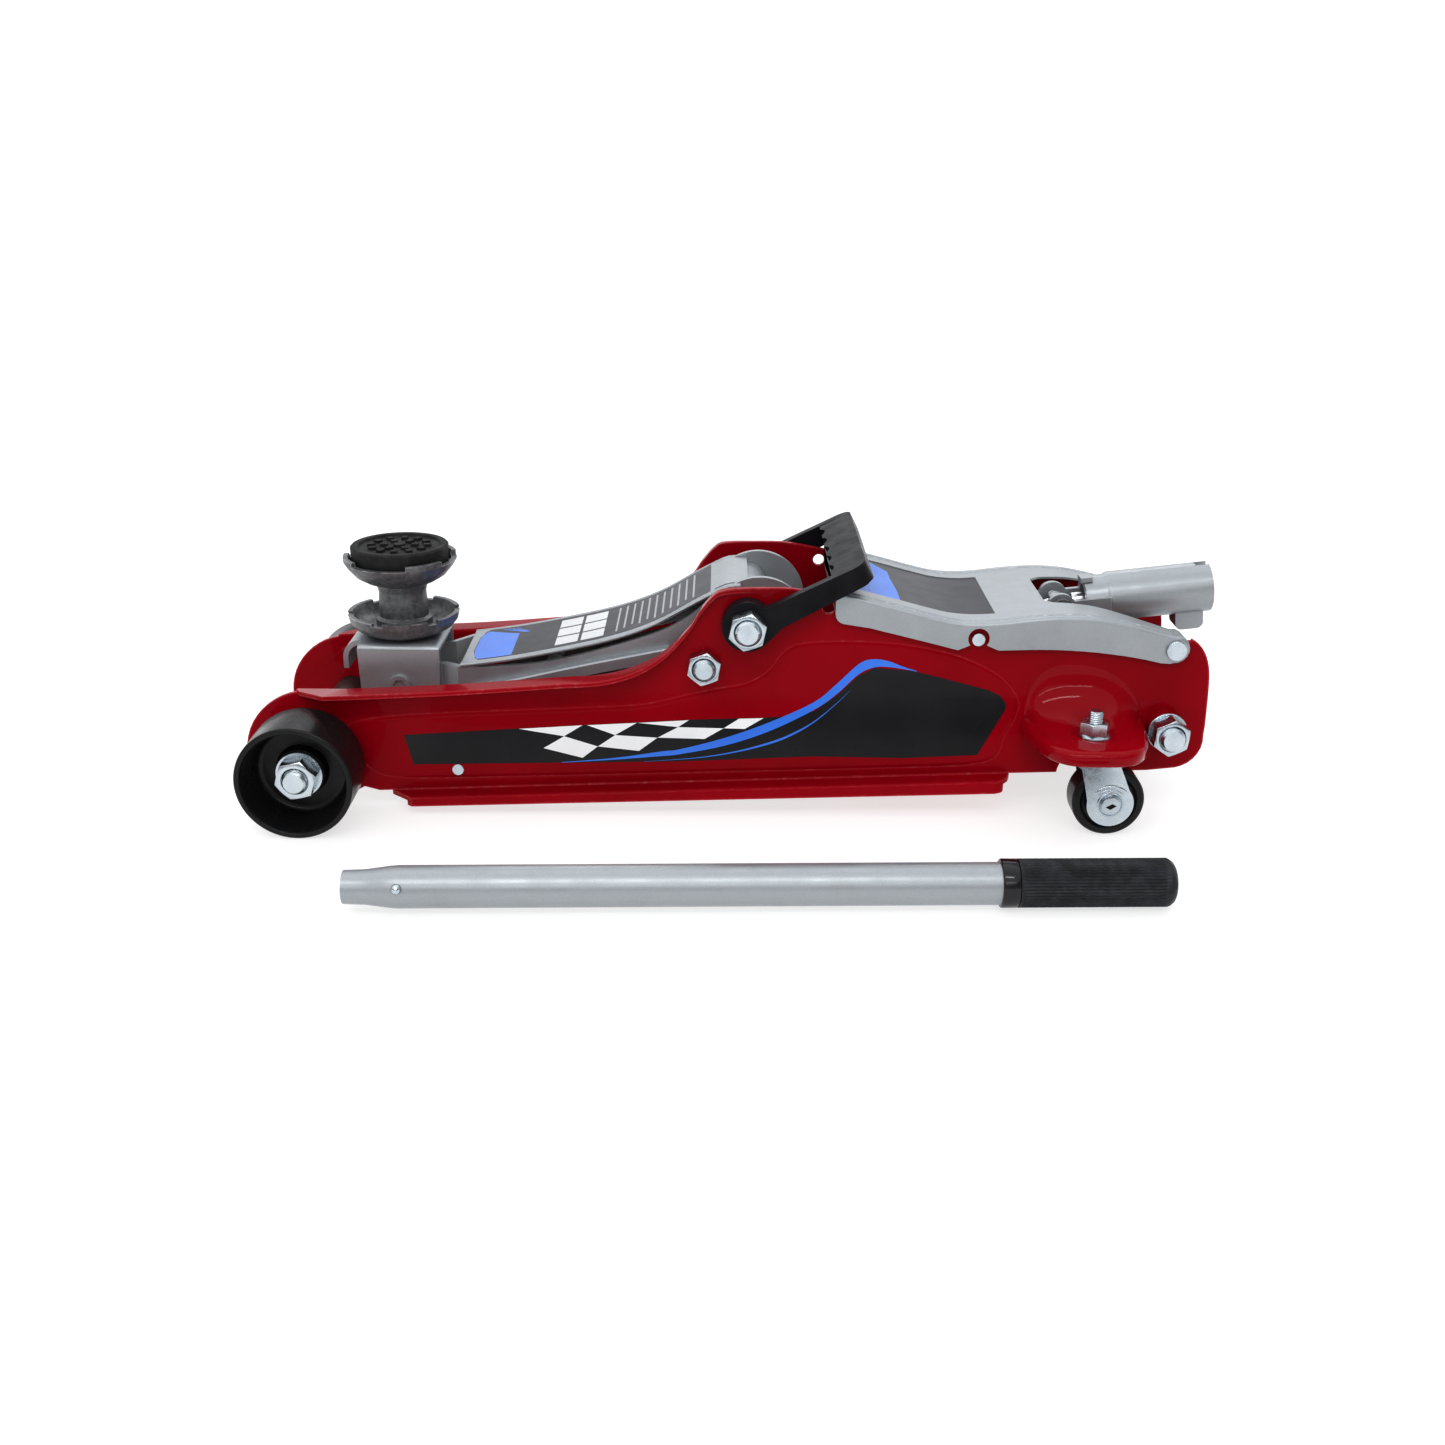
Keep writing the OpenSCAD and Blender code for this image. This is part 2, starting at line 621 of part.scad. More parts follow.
module saddle_cup() color("silver") at_jack() translate([saddle_x, 0, 0]) difference() {
    rotate_extrude($fn = 96) polygon(concat(
        [[0, 91], [stem_r - 2, 91], [stem_r, 93], [stem_r, holder_top + 0.4], [20, holder_top + 0.4]],
        [[27, 106], [33, 109.5], [36.6, 114], [cup_r, cup_rim_z], [cup_r - 3, cup_rim_z]],
        [[33, 115], [30, 111.6], [25, 109.4], [0, 109.4]]
    ));
    cup_notches(6, cup_rim_z, 2.2);
    translate([0, 0, 96]) cylinder(r = 9 + fit_gap, h = 20);
}

module sector(a0, a1) polygon(concat([[0, 0]], arc(0, 0, 1.4 * cup_r, a0, a1, 4)));
// between its raised stretches the rim is lower, over these angles
low_rims = [[-137, -74], [-33, 20], [62, 100], [140, 178]];
module saddle_adapter() color("silver") at_jack() translate([saddle_x, 0, 0]) difference() {
    rotate_extrude($fn = 96) polygon(concat(
        [[0, 96.4], [9, 96.4], [9, 109.8], [19, 109.8], [19.2, 115.4], [neck_r + 0.4, 117], [neck_r - 0.5, 134]],
        [[neck_r + 1, 139.6], [24, 142], [30.5, 146], [35.6, 152], [cup_r, adapter_low_z]],
        [[cup_r, adapter_rim_z], [cup_r - 3, adapter_rim_z], [pad_r + 0.4, 153.2], [0, 153.2]]
    ));
    for (span = low_rims) translate([0, 0, adapter_low_z]) linear_extrude(20) sector(span[0], span[1]);
}

module saddle_pad() color([0.08, 0.08, 0.08]) at_jack() translate([saddle_x, 0, 0]) union() {
    rotate_extrude($fn = 96) polygon([
        [0, pad_top - pad_t], [pad_r - 0.6, pad_top - pad_t], [pad_r, pad_top - 1.2], [pad_r - 1.2, pad_top],
        [pad_r - 5, pad_top], [pad_r - 6, pad_top - 1.8], [0, pad_top - 1.8]
    ]);
    translate([0, 0, pad_top - 2]) pad_blocks();
}
// a middle block, then rings of [count, radius]
module pad_blocks() {
    cylinder(r = 4, h = 2);
    for (ring = [[6, 10.5], [12, 19]])
        for (i = [0 : ring[0] - 1])
            rotate(360 * i / ring[0]) translate([ring[1] - 2.4, -2, 0]) cube([4.8, 4, 2]);
}

// ---- levelling links ----
module leveling_links() color("dimgray") at_jack() both_sides() along_y(14, 18) difference() {
    union() {
        bar(anchor_x, anchor_z, link_front_x, link_front_z, 15);
        disc(anchor_x, anchor_z, 11);
        disc(link_front_x, link_front_z, 10);
    }
    disc(anchor_x, anchor_z, anchor_r + run_gap);
    disc(link_front_x, link_front_z, link_pin_r + 0.4);
}

// ---- hydraulic unit ----
module rod_x(y, z, r, x0, x1) translate([x0, y, z]) rotate([0, 90, 0]) cylinder(r = r, h = x1 - x0);

module power_unit_base() color("dimgray") at_jack() difference() {
    union() {
        translate([base_x, -base_w, 38]) cube([base_rear - base_x, 2 * base_w, base_top - 38]);
        rod_x(0, ram_z, tank_r + 3, base_x, base_x + 14);
        translate([base_x + 4, -24, 32]) cube([36, 48, 8]);
        translate([base_rear - 2, -30, cross_z - 16]) cube([53, 60, 32]);
        both_sides() along_y(18, 24) union() {
            disc(yoke_x, yoke_z, 8);
            translate([yoke_x - 12, base_top - 2]) square([24, 22]);
            polygon([[yoke_x - 12, 118], [yoke_x + 12, 118], [yoke_x + 7.9, yoke_z + 1], [yoke_x - 7.9, yoke_z + 1]]);
        }
        valve_axis() translate([0, 0, -52]) cylinder(r = 9, h = 22);
        translate([base_x + 8, -9, base_top - 2]) cube([38, 18, 12]);
    }
    translate([plunger_x, 0, 62]) cylinder(r = plunger_r + run_gap, h = 60);
    valve_axis() translate([0, 0, -46]) cylinder(r = valve_r + run_gap, h = 60);
    rod_y(cross_x, cross_z, 12 + fit_gap, -31, 31);
    rod_x(0, ram_z, piston_r, base_x - cut, base_x + 4);
    translate([plug_x, 20, base_top - 8]) cylinder(r = 4, h = 20);
    rod_y(200, plug_z, 4, base_w - 8, base_w + 2);
    rod_y(178, plug_z, 4, base_w - 8, base_w + 2);
    both_sides() rod_y(yoke_x, yoke_z, 4 + fit_gap, 17, 25);
}
module valve_axis() translate([yoke_x, 0, yoke_z]) rotate([0, 90 - stem_tilt, 0]) children();

module tube_x(r, bore) translate([tank_x, 0, ram_z]) rotate([0, 90, 0]) difference() {
    cylinder(r = r, h = base_x - tank_x);
    translate([0, 0, -cut]) cylinder(r = bore, h = base_x - tank_x + 2 * cut);
}
module reservoir_tube() color("firebrick") at_jack() tube_x(tank_r, tank_r - 2.5);

module ram_cylinder() color("dimgray") at_jack() tube_x(cyl_r, piston_r);

module cylinder_gland() color("gainsboro") at_jack() translate([gland_x, 0, ram_z]) rotate([0, 90, 0])
    difference() {
        cylinder(r = tank_r, h = tank_x - gland_x);
        translate([0, 0, -cut]) cylinder(r = ram_r + run_gap, h = 20);
    }

module ram_rod() color("gainsboro") at_jack() difference() {
    union() {
        rod_x(0, ram_z, ram_r, crank_x + 14, tank_x + 70);
        rod_x(0, ram_z, piston_r - run_gap, tank_x + 66, tank_x + 76);
        translate([crank_x - 16, -12, 59.4]) cube([32, 24, 32]);
    }
    along_y(-13, 13) union() {
        disc(crank_x, pivot_z - crank_r, crank_pin_r + 1);
        disc(crank_x, crank_z, crank_pin_r + 1);
        translate([crank_x - crank_pin_r - 1, pivot_z - crank_r])
            square([2 * crank_pin_r + 2, crank_z - pivot_z + crank_r]);
    }
}

module return_springs() color("silver") at_jack() both_sides() translate([0, 43, 0]) {
    rod_x(0, crank_z, 5.5, crank_x + 8.4, 124);
    ring_y(crank_x, crank_z, 8.5, crank_end_r + 0.5, -1.2, 1.2);
    ring_y(stud_x, crank_z, 8.2, 4.4, -1.2, 1.2);
}

module pump_barrel() color("gainsboro") at_jack() translate([plunger_x, 0, base_top]) difference() {
    cylinder(r = 10, h = 5);
    translate([0, 0, -cut]) cylinder(r = plunger_r + run_gap, h = 12);
}

module pump_plunger() color("gainsboro") at_jack() translate([plunger_x, 0, 0]) {
    translate([0, 0, 64]) cylinder(r = plunger_r, h = plunger_top - 64);
    translate([0, 0, plunger_top - 2]) cylinder(r = 7, h = 2);
}

module pump_spring() color("silver") at_jack() translate([plunger_x, 0, base_top + 5.1]) difference() {
    cylinder(r = 7.4, h = plunger_top - 2.3 - base_top - 5.1);
    translate([0, 0, -cut]) cylinder(r = 6, h = 30);
}

module plug_screws() color("gainsboro") at_jack() {
    translate([plug_x, 20, base_top - 7]) cylinder(r = 3.8, h = 7);
    translate([plug_x, 20, base_top]) cylinder(r = 13 / sqrt(3), h = 5, $fn = 6);
    for (x = [178, 200]) {
        rod_y(x, plug_z, 3.8, base_w - 7, base_w);
        hex_head(x, plug_z, 13, base_w, base_w + 5);
    }
}

module release_valve_stem() color("gainsboro") at_jack() valve_axis() difference() {
    union() {
        translate([0, 0, -45]) cylinder(r = valve_r, h = 42);
        rotate([90, 0, 0]) translate([0, 0, -5.5]) cylinder(r = 6, h = 11);
    }
    translate([-1.5, -10, 2]) cube([3, 20, 10]);
}

// ---- handle socket ----
module socket_axis() at_jack() translate([yoke_x, 0, yoke_z]) rotate([0, 90 - socket_tilt, 0]) children();
// in socket_axis, z runs out of the mouth and -x points up
module handle_socket() color("silver") socket_axis() difference() {
    union() {
        rotate_extrude() polygon([
            [0, socket_start], [hood_r, socket_start], [hood_r, socket_start + 3.5],
            [cheek_out, socket_start + 7], [cheek_out, socket_end], [0, socket_end]
        ]);
        intersection() {
            translate([0, 0, hood_start]) cylinder(r = hood_r, h = 20);
            translate([-20, -20, hood_start]) cube([18, 40, 30]);
        }
        translate([-hood_r - 1.6, -9, hood_start - 2.5]) cube([3.4, 11, 8]);
        both_sides() translate([-4, cheek_in, -10]) cube([20, cheek_out - cheek_in, 44]);
        both_sides() rotate([-90, 0, 0]) translate([0, 0, cheek_in]) cylinder(r = 10, h = cheek_out - cheek_in);
        rotate([90, 0, 0]) translate([0, 0, -lug_w]) linear_extrude(2 * lug_w) socket_lug();
    }
    translate([0, 0, hood_start - cut]) cylinder(r = seat_r, h = 100);
    translate([0, 0, seat_end]) cylinder(r = socket_bore_r, h = 100);
    translate([-20, -4, socket_end - 9]) cube([12, 8, 20]);
    both_sides() rotate([-90, 0, 0]) translate([0, 0, cheek_in - cut]) cylinder(r = 4 + run_gap, h = 10);
    both_sides() roller_seat() cylinder(r = 2.5 + fit_gap, h = 30);
}
// outline of the lug below the mouth
module socket_lug() polygon(concat(
    [[14, socket_end - 24]], arc(22.5, socket_end - 19.5, 4.5, -90, 0, 5),
    arc(22.5, socket_end - 9.5, 4.5, 0, 90, 5), [[14, socket_end - 5]]
));
module roller_seat() rotate([0, socket_tilt - 90, 0]) translate([roller_x - yoke_x, 0, roller_z - yoke_z])
    rotate([-90, 0, 0]) children();

module socket_pivot_bolts() color("gainsboro") at_jack() both_sides() {
    rod_y(yoke_x, yoke_z, 4, 12.8, 24);
    rod_y(yoke_x, yoke_z, 6.5, 24, 27);
}

module plunger_roller() color("gainsboro") at_jack() {
    rod_y(roller_x, roller_z, roller_r, -12, 12);
    rod_y(roller_x, roller_z, 2.5, -16.4, 16.4);
}

module release_coupling() color("gainsboro") socket_axis() difference() {
    union() {
        translate([0, 0, 10]) cylinder(r = 5, h = 22);
        translate([0, 0, 30]) cylinder(r = seat_r - run_gap, h = 8);
        translate([0, 0, 38]) cylinder(r = 8, h = 14);
    }
    translate([-2.5, -10, 44]) cube([5, 20, 10]);
}

// ---- carry handle ----
module carry_frame() translate([pivot_x, 0, pivot_z]) rotate([0, -carry_tilt, 0]) children();
module carry_side() {
    difference() {
        union() {
            translate([0, boss_in, 0]) rotate([-90, 0, 0]) cylinder(r = 16.5, h = boss_out - boss_in);
            along_y(carry_in, boss_out) polygon([
                [6, 10], [18, 5.4], [carry_end - 4, 4.4], [carry_end - 4, -9], [20, -10.6], [4, -16]
            ]);
        }
        translate([0, boss_in - cut, 0]) rotate([-90, 0, 0]) cylinder(r = shaft_r + run_gap, h = 20);
    }
}
module carry_outline() polygon(concat(
    [[-30, -boss_out]], arc(carry_end - carry_corner_r, carry_corner_r - boss_out, carry_corner_r, -90, 0, 8),
    arc(carry_end - carry_corner_r, boss_out - carry_corner_r, carry_corner_r, 0, 90, 8), [[-30, boss_out]]
));
module carry_handle() color([0.1, 0.1, 0.11]) at_jack() carry_frame() intersection() {
    union() {
        both_sides() carry_side();
        difference() {
            translate([carry_end - 24, -boss_out, -8.6]) cube([24, 2 * boss_out, 13]);
            for (i = [-2 : 2]) translate([carry_end - 33, i * 24, -20]) cylinder(r = 12, h = 40);
        }
    }
    translate([0, 0, -40]) linear_extrude(80) carry_outline();
}

// ---- pump handle ----
module at_handle() translate([0, jack_y - handle_gap, grip_r]) rotate(handle_yaw) rotate([0, 90, 0]) children();
// in at_handle, z runs along the tube from the socket end to the grip
module handle_tube() color("silver") at_handle() difference() {
    rotate_extrude($fn = 72) polygon([
        [8.2, handle_x0], [10, handle_x0], [10.4, handle_x0 + 13], [12.3, handle_x0 + 27],
        [handle_r, handle_x0 + 32], [handle_r, handle_x1 - 4], [handle_r - 1.8, handle_x1 - 4],
        [handle_r - 1.8, handle_x0 + 32], [8.6, handle_x0 + 13]
    ]);
    button_axis() cylinder(r = 3 + fit_gap, h = 20);
}
module button_axis() translate([0, 0, button_x]) rotate([0, 0, -110]) rotate([0, 90, 0]) children();

module handle_button() color("gainsboro") at_handle() button_axis() {
    translate([0, 0, 8]) cylinder(r = 4.6, h = 1.6);
    translate([0, 0, 8]) cylinder(r = 3, h = 5);
    translate([0, 0, 12.9]) sphere(r = 3);
}

module handle_grip() color([0.09, 0.09, 0.09]) at_handle() rotate_extrude($fn = 72) polygon([
    [handle_r + 0.02, grip_x0], [grip_r - 1, grip_x0], [grip_r, grip_x0 + 1], [grip_r, handle_x1 - 3],
    [grip_r - 3, handle_x1], [0, handle_x1], [0, handle_x1 - 3.8], [handle_r + 0.02, handle_x1 - 3.8]
]);

side_plate_left();
side_plate_right();
bottom_tie_plate();
front_axle();
front_axle_tubes();
front_wheel_left();
front_wheel_right();
front_wheel_nuts();
main_pivot_shaft();
main_pivot_nuts();
pivot_spacers();
link_anchor_bolt();
link_anchor_nuts();
stop_rod();
spring_studs();
rear_cross_bolt();
rear_spacer_tubes();
rear_nuts();
rear_cover();
cover_screws();
castor_brackets();
castor_kingpins();
castor_nuts();
castor_bearings();
castor_fork_left();
castor_fork_right();
castor_wheel_left();
castor_wheel_right();
castor_axle_left();
castor_axle_right();
arm_side_plates();
arm_cover_sheet();
arm_hub_tube();
arm_tie_bar();
crank_pin();
holder_pins();
saddle_holder();
saddle_cup();
saddle_adapter();
saddle_pad();
leveling_links();
power_unit_base();
ram_cylinder();
reservoir_tube();
cylinder_gland();
ram_rod();
return_springs();
pump_barrel();
pump_plunger();
pump_spring();
plug_screws();
release_valve_stem();
release_coupling();
handle_socket();
socket_pivot_bolts();
plunger_roller();
carry_handle();
handle_tube();
handle_grip();
handle_button();
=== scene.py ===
import json
import math
import bmesh
import bpy
from mathutils import Matrix, Vector


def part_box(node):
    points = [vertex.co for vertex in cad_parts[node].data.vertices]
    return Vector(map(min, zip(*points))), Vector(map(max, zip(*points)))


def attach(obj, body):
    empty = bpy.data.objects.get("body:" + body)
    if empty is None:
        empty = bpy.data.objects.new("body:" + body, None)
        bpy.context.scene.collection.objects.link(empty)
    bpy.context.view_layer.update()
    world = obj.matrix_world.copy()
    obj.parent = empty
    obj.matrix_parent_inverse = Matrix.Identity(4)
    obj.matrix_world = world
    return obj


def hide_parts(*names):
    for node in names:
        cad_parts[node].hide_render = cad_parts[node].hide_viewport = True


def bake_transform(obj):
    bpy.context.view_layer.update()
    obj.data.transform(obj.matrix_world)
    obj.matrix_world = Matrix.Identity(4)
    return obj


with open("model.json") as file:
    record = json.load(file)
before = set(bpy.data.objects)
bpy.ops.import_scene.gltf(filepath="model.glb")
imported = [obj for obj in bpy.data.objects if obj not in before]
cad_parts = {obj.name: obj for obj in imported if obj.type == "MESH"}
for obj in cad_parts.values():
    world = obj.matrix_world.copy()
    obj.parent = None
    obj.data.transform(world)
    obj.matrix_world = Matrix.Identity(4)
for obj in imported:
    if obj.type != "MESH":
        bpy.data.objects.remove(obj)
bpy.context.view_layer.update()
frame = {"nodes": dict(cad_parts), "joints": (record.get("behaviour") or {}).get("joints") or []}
NODES = frame["nodes"]
JOINTS = {j["name"]: j for j in frame["joints"]}
# The shaping below is in millimetres, and MM turns it into the frame's metres.
MM = 0.001
PIVOT = Vector(JOINTS["lift_arm_hinge"]["pos_m"])
ANCHOR = Vector(JOINTS["leveling_link_hinge"]["pos_m"])
SADDLE = Vector(JOINTS["saddle_swivel"]["pos_m"])
MID_Y = PIVOT.y
SIDES = (("left", -1), ("right", 1))
PLATE_OUT = 61.3
EMBOSS_H = 1.2
HANDLE_YAW = math.radians(1.3)


# ---- camera, light and floor ----
def make_camera():
    camera = bpy.data.objects.new("camera", bpy.data.cameras.new("camera"))
    bpy.context.collection.objects.link(camera)
    pitch, yaw, roll = math.radians(21.007), math.radians(0.060), math.radians(0.302)
    ahead = Vector((math.sin(yaw) * math.cos(pitch), math.cos(yaw) * math.cos(pitch), -math.sin(pitch)))
    right = Vector((math.cos(yaw), -math.sin(yaw), 0))
    up = right.cross(ahead)
    right_rolled = math.cos(roll) * right + math.sin(roll) * up
    up_rolled = math.cos(roll) * up - math.sin(roll) * right
    turn = Matrix((right_rolled, up_rolled, -ahead)).transposed()
    place = Vector((-8.49 * MM, MID_Y - 1025.85 * MM, 431.70 * MM))
    camera.matrix_world = Matrix.Translation(place) @ turn.to_4x4()
    camera.data.sensor_width = 36
    camera.data.lens = 38.74471
    camera.data.clip_start = 0.05
    camera.data.clip_end = 30
    bpy.context.scene.camera = camera


def area_light(name, place, target, size, power):
    light = bpy.data.objects.new(name, bpy.data.lights.new(name, "AREA"))
    light.data.shape = "RECTANGLE"
    light.data.size, light.data.size_y = size
    light.data.energy = power
    light.location = place
    light.rotation_euler = (Vector(target) - Vector(place)).to_track_quat("-Z", "Y").to_euler()
    bpy.context.collection.objects.link(light)


def sun_light(name, direction, strength, spread):
    light = bpy.data.objects.new(name, bpy.data.lights.new(name, "SUN"))
    light.data.energy = strength
    light.data.angle = math.radians(spread)
    light.rotation_euler = Vector(direction).to_track_quat("-Z", "Y").to_euler()
    bpy.context.collection.objects.link(light)


def strength_along(tree, output, low, high, at_low, at_high):
    """Goes from at_low to at_high while the output goes from low to high."""
    spread = tree.nodes.new("ShaderNodeMapRange")
    for socket, value in (("From Min", low), ("From Max", high), ("To Min", at_low), ("To Max", at_high)):
        spread.inputs[socket].default_value = value
    tree.links.new(output, spread.inputs["Value"])
    return spread.outputs["Result"]


def make_world():
    """A pale surround, dimmer on the camera's side and overhead."""
    world = bpy.data.worlds.new("studio")
    bpy.context.scene.world = world
    world.use_nodes = True
    tree = world.node_tree
    background = tree.nodes["Background"]
    direction = tree.nodes.new("ShaderNodeSeparateXYZ")
    tree.links.new(tree.nodes.new("ShaderNodeTexCoord").outputs["Generated"], direction.inputs[0])
    both = tree.nodes.new("ShaderNodeMath")
    both.operation = "MULTIPLY"
    tree.links.new(strength_along(tree, direction.outputs["Y"], -0.35, 0.25, 0.30, 1.15), both.inputs[0])
    tree.links.new(strength_along(tree, direction.outputs["Z"], 0.10, 0.50, 1.0, 0.70), both.inputs[1])
    background.inputs["Color"].default_value = (0.97, 0.98, 1.0, 1)
    tree.links.new(both.outputs[0], background.inputs["Strength"])


def make_lights():
    sun_light("key_sun", (0.2, 0.35, -1.0), 1.9, 110)
    area_light("strip_front", (-0.1, -1.1, 1.35), (0, 0, 0.08), (1.5, 0.10), 7)
    area_light("strip_low", (0.0, -1.5, 0.75), (0, 0, 0.08), (1.6, 0.07), 2.6)
    area_light("strip_back", (0.1, 1.5, 1.2), (0, 0.05, 0.08), (1.6, 0.3), 5)


def set_view():
    settings = bpy.context.scene.view_settings
    settings.view_transform = "Standard"
    settings.look = "None"
    settings.gamma = 0.8


def make_floor():
    bm = bmesh.new()
    half = 12.0
    below = -0.0004
    corners = ((-1, -1), (1, -1), (1, 1), (-1, 1))
    bm.faces.new([bm.verts.new((x * half, y * half, below)) for x, y in corners])
    mesh = bpy.data.meshes.new("floor")
    bm.to_mesh(mesh)
    floor = bpy.data.objects.new("floor", mesh)
    bpy.context.collection.objects.link(floor)
    floor.data.materials.append(floor_material())


# ---- node helpers for materials ----
class Shader:
    """One Principled material and the short calls that build its node tree."""

    def __init__(self, name, color, roughness, metallic=0.0, coat=0.0, coat_roughness=0.05):
        self.mat = bpy.data.materials.new(name)
        self.mat.use_nodes = True
        self.tree = self.mat.node_tree
        self.bsdf = self.tree.nodes["Principled BSDF"]
        self.set("Base Color", (*color, 1))
        self.set("Roughness", roughness)
        self.set("Metallic", metallic)
        self.set("Coat Weight", coat)
        self.set("Coat Roughness", coat_roughness)
        self.coords = self.tree.nodes.new("ShaderNodeTexCoord").outputs["Object"]
        self.normal = None

    def set(self, socket, value):
        self.bsdf.inputs[socket].default_value = value

    def link(self, output, socket):
        self.tree.links.new(output, self.bsdf.inputs[socket])

    def node(self, kind, inputs, **settings):
        n = self.tree.nodes.new(kind)
        for key, value in settings.items():
            setattr(n, key, value)
        for key, value in inputs.items():
            if isinstance(value, bpy.types.NodeSocket):
                self.tree.links.new(value, n.inputs[key])
            else:
                n.inputs[key].default_value = value
        return n

    def stretched(self, scale):
        return self.node("ShaderNodeMapping", {"Vector": self.coords, "Scale": scale}).outputs[0]

    def noise(self, scale, detail=3.0, rough=0.55, coords=None):
        values = {"Vector": coords or self.coords, "Scale": scale, "Detail": detail, "Roughness": rough}
        return self.node("ShaderNodeTexNoise", values).outputs["Fac"]

    def cells(self, scale, coords=None):
        values = {"Vector": coords or self.coords, "Scale": scale}
        return self.node("ShaderNodeTexVoronoi", values).outputs["Distance"]

    def spread(self, value, low, high, to_low=0.0, to_high=1.0):
        values = {"Value": value, "From Min": low, "From Max": high, "To Min": to_low, "To Max": to_high}
        return self.node("ShaderNodeMapRange", values).outputs["Result"]

    def mix_color(self, factor, a, b):
        n = self.node("ShaderNodeMix", {"Factor": factor}, data_type="RGBA")
        for socket, value in ((n.inputs[6], a), (n.inputs[7], b)):
            if isinstance(value, bpy.types.NodeSocket):
                self.tree.links.new(value, socket)
            else:
                socket.default_value = (*value, 1)
        return n.outputs[2]

    def math(self, operation, a, b=0.0):
        return self.node("ShaderNodeMath", {0: a, 1: b}, operation=operation).outputs[0]

    def bump(self, height, strength, distance):
        values = {"Height": height, "Strength": strength, "Distance": distance}
        if self.normal is not None:
            values["Normal"] = self.normal
        self.normal = self.node("ShaderNodeBump", values).outputs["Normal"]
        self.link(self.normal, "Normal")

    def edges(self, radius, low=0.80, high=0.97):
        """1 on edges sharper than the radius, 0 on flat faces."""
        rounded = self.node("ShaderNodeBevel", {"Radius": radius}, samples=4).outputs["Normal"]
        true = self.tree.nodes.new("ShaderNodeNewGeometry").outputs["Normal"]
        both = {0: rounded, 1: true}
        dot = self.node("ShaderNodeVectorMath", both, operation="DOT_PRODUCT").outputs["Value"]
        return self.spread(dot, high, low)

    def mottle(self, grain, low, high, one, other):
        """Base colour that drifts from one tone to the other with the grain."""
        self.link(self.mix_color(self.spread(grain, low, high), one, other), "Base Color")

    def sheen(self, scale, detail, least, most):
        """Roughness that drifts between two values."""
        self.link(self.spread(self.noise(scale, detail), 0.3, 0.7, least, most), "Roughness")


def red_paint(name="red_paint", gloss=1.14):
    s = Shader(name, (0.31, 0.001, 0.006), 0.35, coat=1.0, coat_roughness=0.04)
    s.set("Specular IOR Level", 0.02)
    s.set("Coat IOR", gloss)
    clouds = s.spread(s.noise(9, 4), 0.3, 0.7)
    tone = s.mix_color(clouds, (0.24, 0.0002, 0.006), (0.33, 0.0003, 0.010))
    # Painted highlight: every edge is tinted a lighter red, standing in for the gloss highlights on rounded
    # edges. The same edge mask, broken up by noise, also gives paler worn spots on the edges.
    rim = s.edges(0.0024, 0.84, 0.985)
    painted_edge_highlight = s.mix_color(s.math("MULTIPLY", rim, 0.6), tone, (0.62, 0.07, 0.09))
    worn = s.math("MULTIPLY", rim, s.spread(s.noise(160, 5), 0.52, 0.66))
    s.link(s.mix_color(s.math("MULTIPLY", worn, 0.55), painted_edge_highlight, (0.62, 0.20, 0.20)), "Base Color")
    s.sheen(38, 4, 0.24, 0.40)
    s.bump(s.noise(520, 2), 0.06, 0.0002)
    s.bump(s.noise(60, 2), 0.10, 0.0004)
    return s.mat


def silver_paint():
    s = Shader("silver_paint", (0.42, 0.43, 0.44), 0.42, metallic=0.55, coat=0.25, coat_roughness=0.2)
    flake = s.spread(s.cells(2600), 0.1, 0.6)
    tone = s.mix_color(flake, (0.305, 0.33, 0.352), (0.395, 0.42, 0.44))
    grime = s.spread(s.noise(30, 6, 0.7), 0.55, 0.8, 0.0, 0.35)
    dirty = s.mix_color(grime, tone, (0.27, 0.27, 0.27))
    worn = s.math("MULTIPLY", s.edges(0.0009), s.spread(s.noise(210, 5), 0.5, 0.62))
    s.link(s.mix_color(s.math("MULTIPLY", worn, 0.7), dirty, (0.72, 0.73, 0.74)), "Base Color")
    s.sheen(55, 4, 0.34, 0.5)
    s.bump(s.noise(900, 3), 0.12, 0.0002)
    return s.mat


def cast_silver():
    s = Shader("cast_silver", (0.2, 0.205, 0.21), 0.45, metallic=0.5, coat=0.2, coat_roughness=0.25)
    lumps = s.noise(260, 5, 0.65)
    tone = s.mix_color(s.spread(lumps, 0.35, 0.65), (0.11, 0.112, 0.118), (0.20, 0.205, 0.21))
    worn = s.math("MULTIPLY", s.edges(0.0013), s.spread(s.noise(120, 5), 0.42, 0.6))
    s.link(s.mix_color(s.math("MULTIPLY", worn, 0.75), tone, (0.78, 0.79, 0.8)), "Base Color")
    s.sheen(80, 4, 0.36, 0.56)
    s.bump(lumps, 0.35, 0.0005)
    s.bump(s.noise(48, 3), 0.25, 0.0012)
    return s.mat


def zinc():
    s = Shader("zinc", (0.78, 0.80, 0.82), 0.24, metallic=1.0)
    tint = s.mix_color(s.spread(s.noise(45, 4), 0.35, 0.7), (0.50, 0.56, 0.61), (0.62, 0.67, 0.70))
    stains = s.spread(s.noise(180, 6, 0.7), 0.6, 0.75, 0.0, 0.5)
    s.link(s.mix_color(stains, tint, (0.45, 0.49, 0.52)), "Base Color")
    s.sheen(140, 5, 0.16, 0.36)
    s.bump(s.noise(700, 4), 0.07, 0.0002)
    return s.mat


def turned_steel():
    s = Shader("turned_steel", (0.62, 0.62, 0.64), 0.22, metallic=1.0)
    rings = s.noise(900, 2, coords=s.stretched((0.15, 1.0, 0.15)))
    s.mottle(s.noise(35, 4), 0.3, 0.7, (0.52, 0.52, 0.54), (0.7, 0.7, 0.72))
    s.link(s.spread(rings, 0.3, 0.7, 0.16, 0.34), "Roughness")
    s.bump(rings, 0.1, 0.0001)
    return s.mat


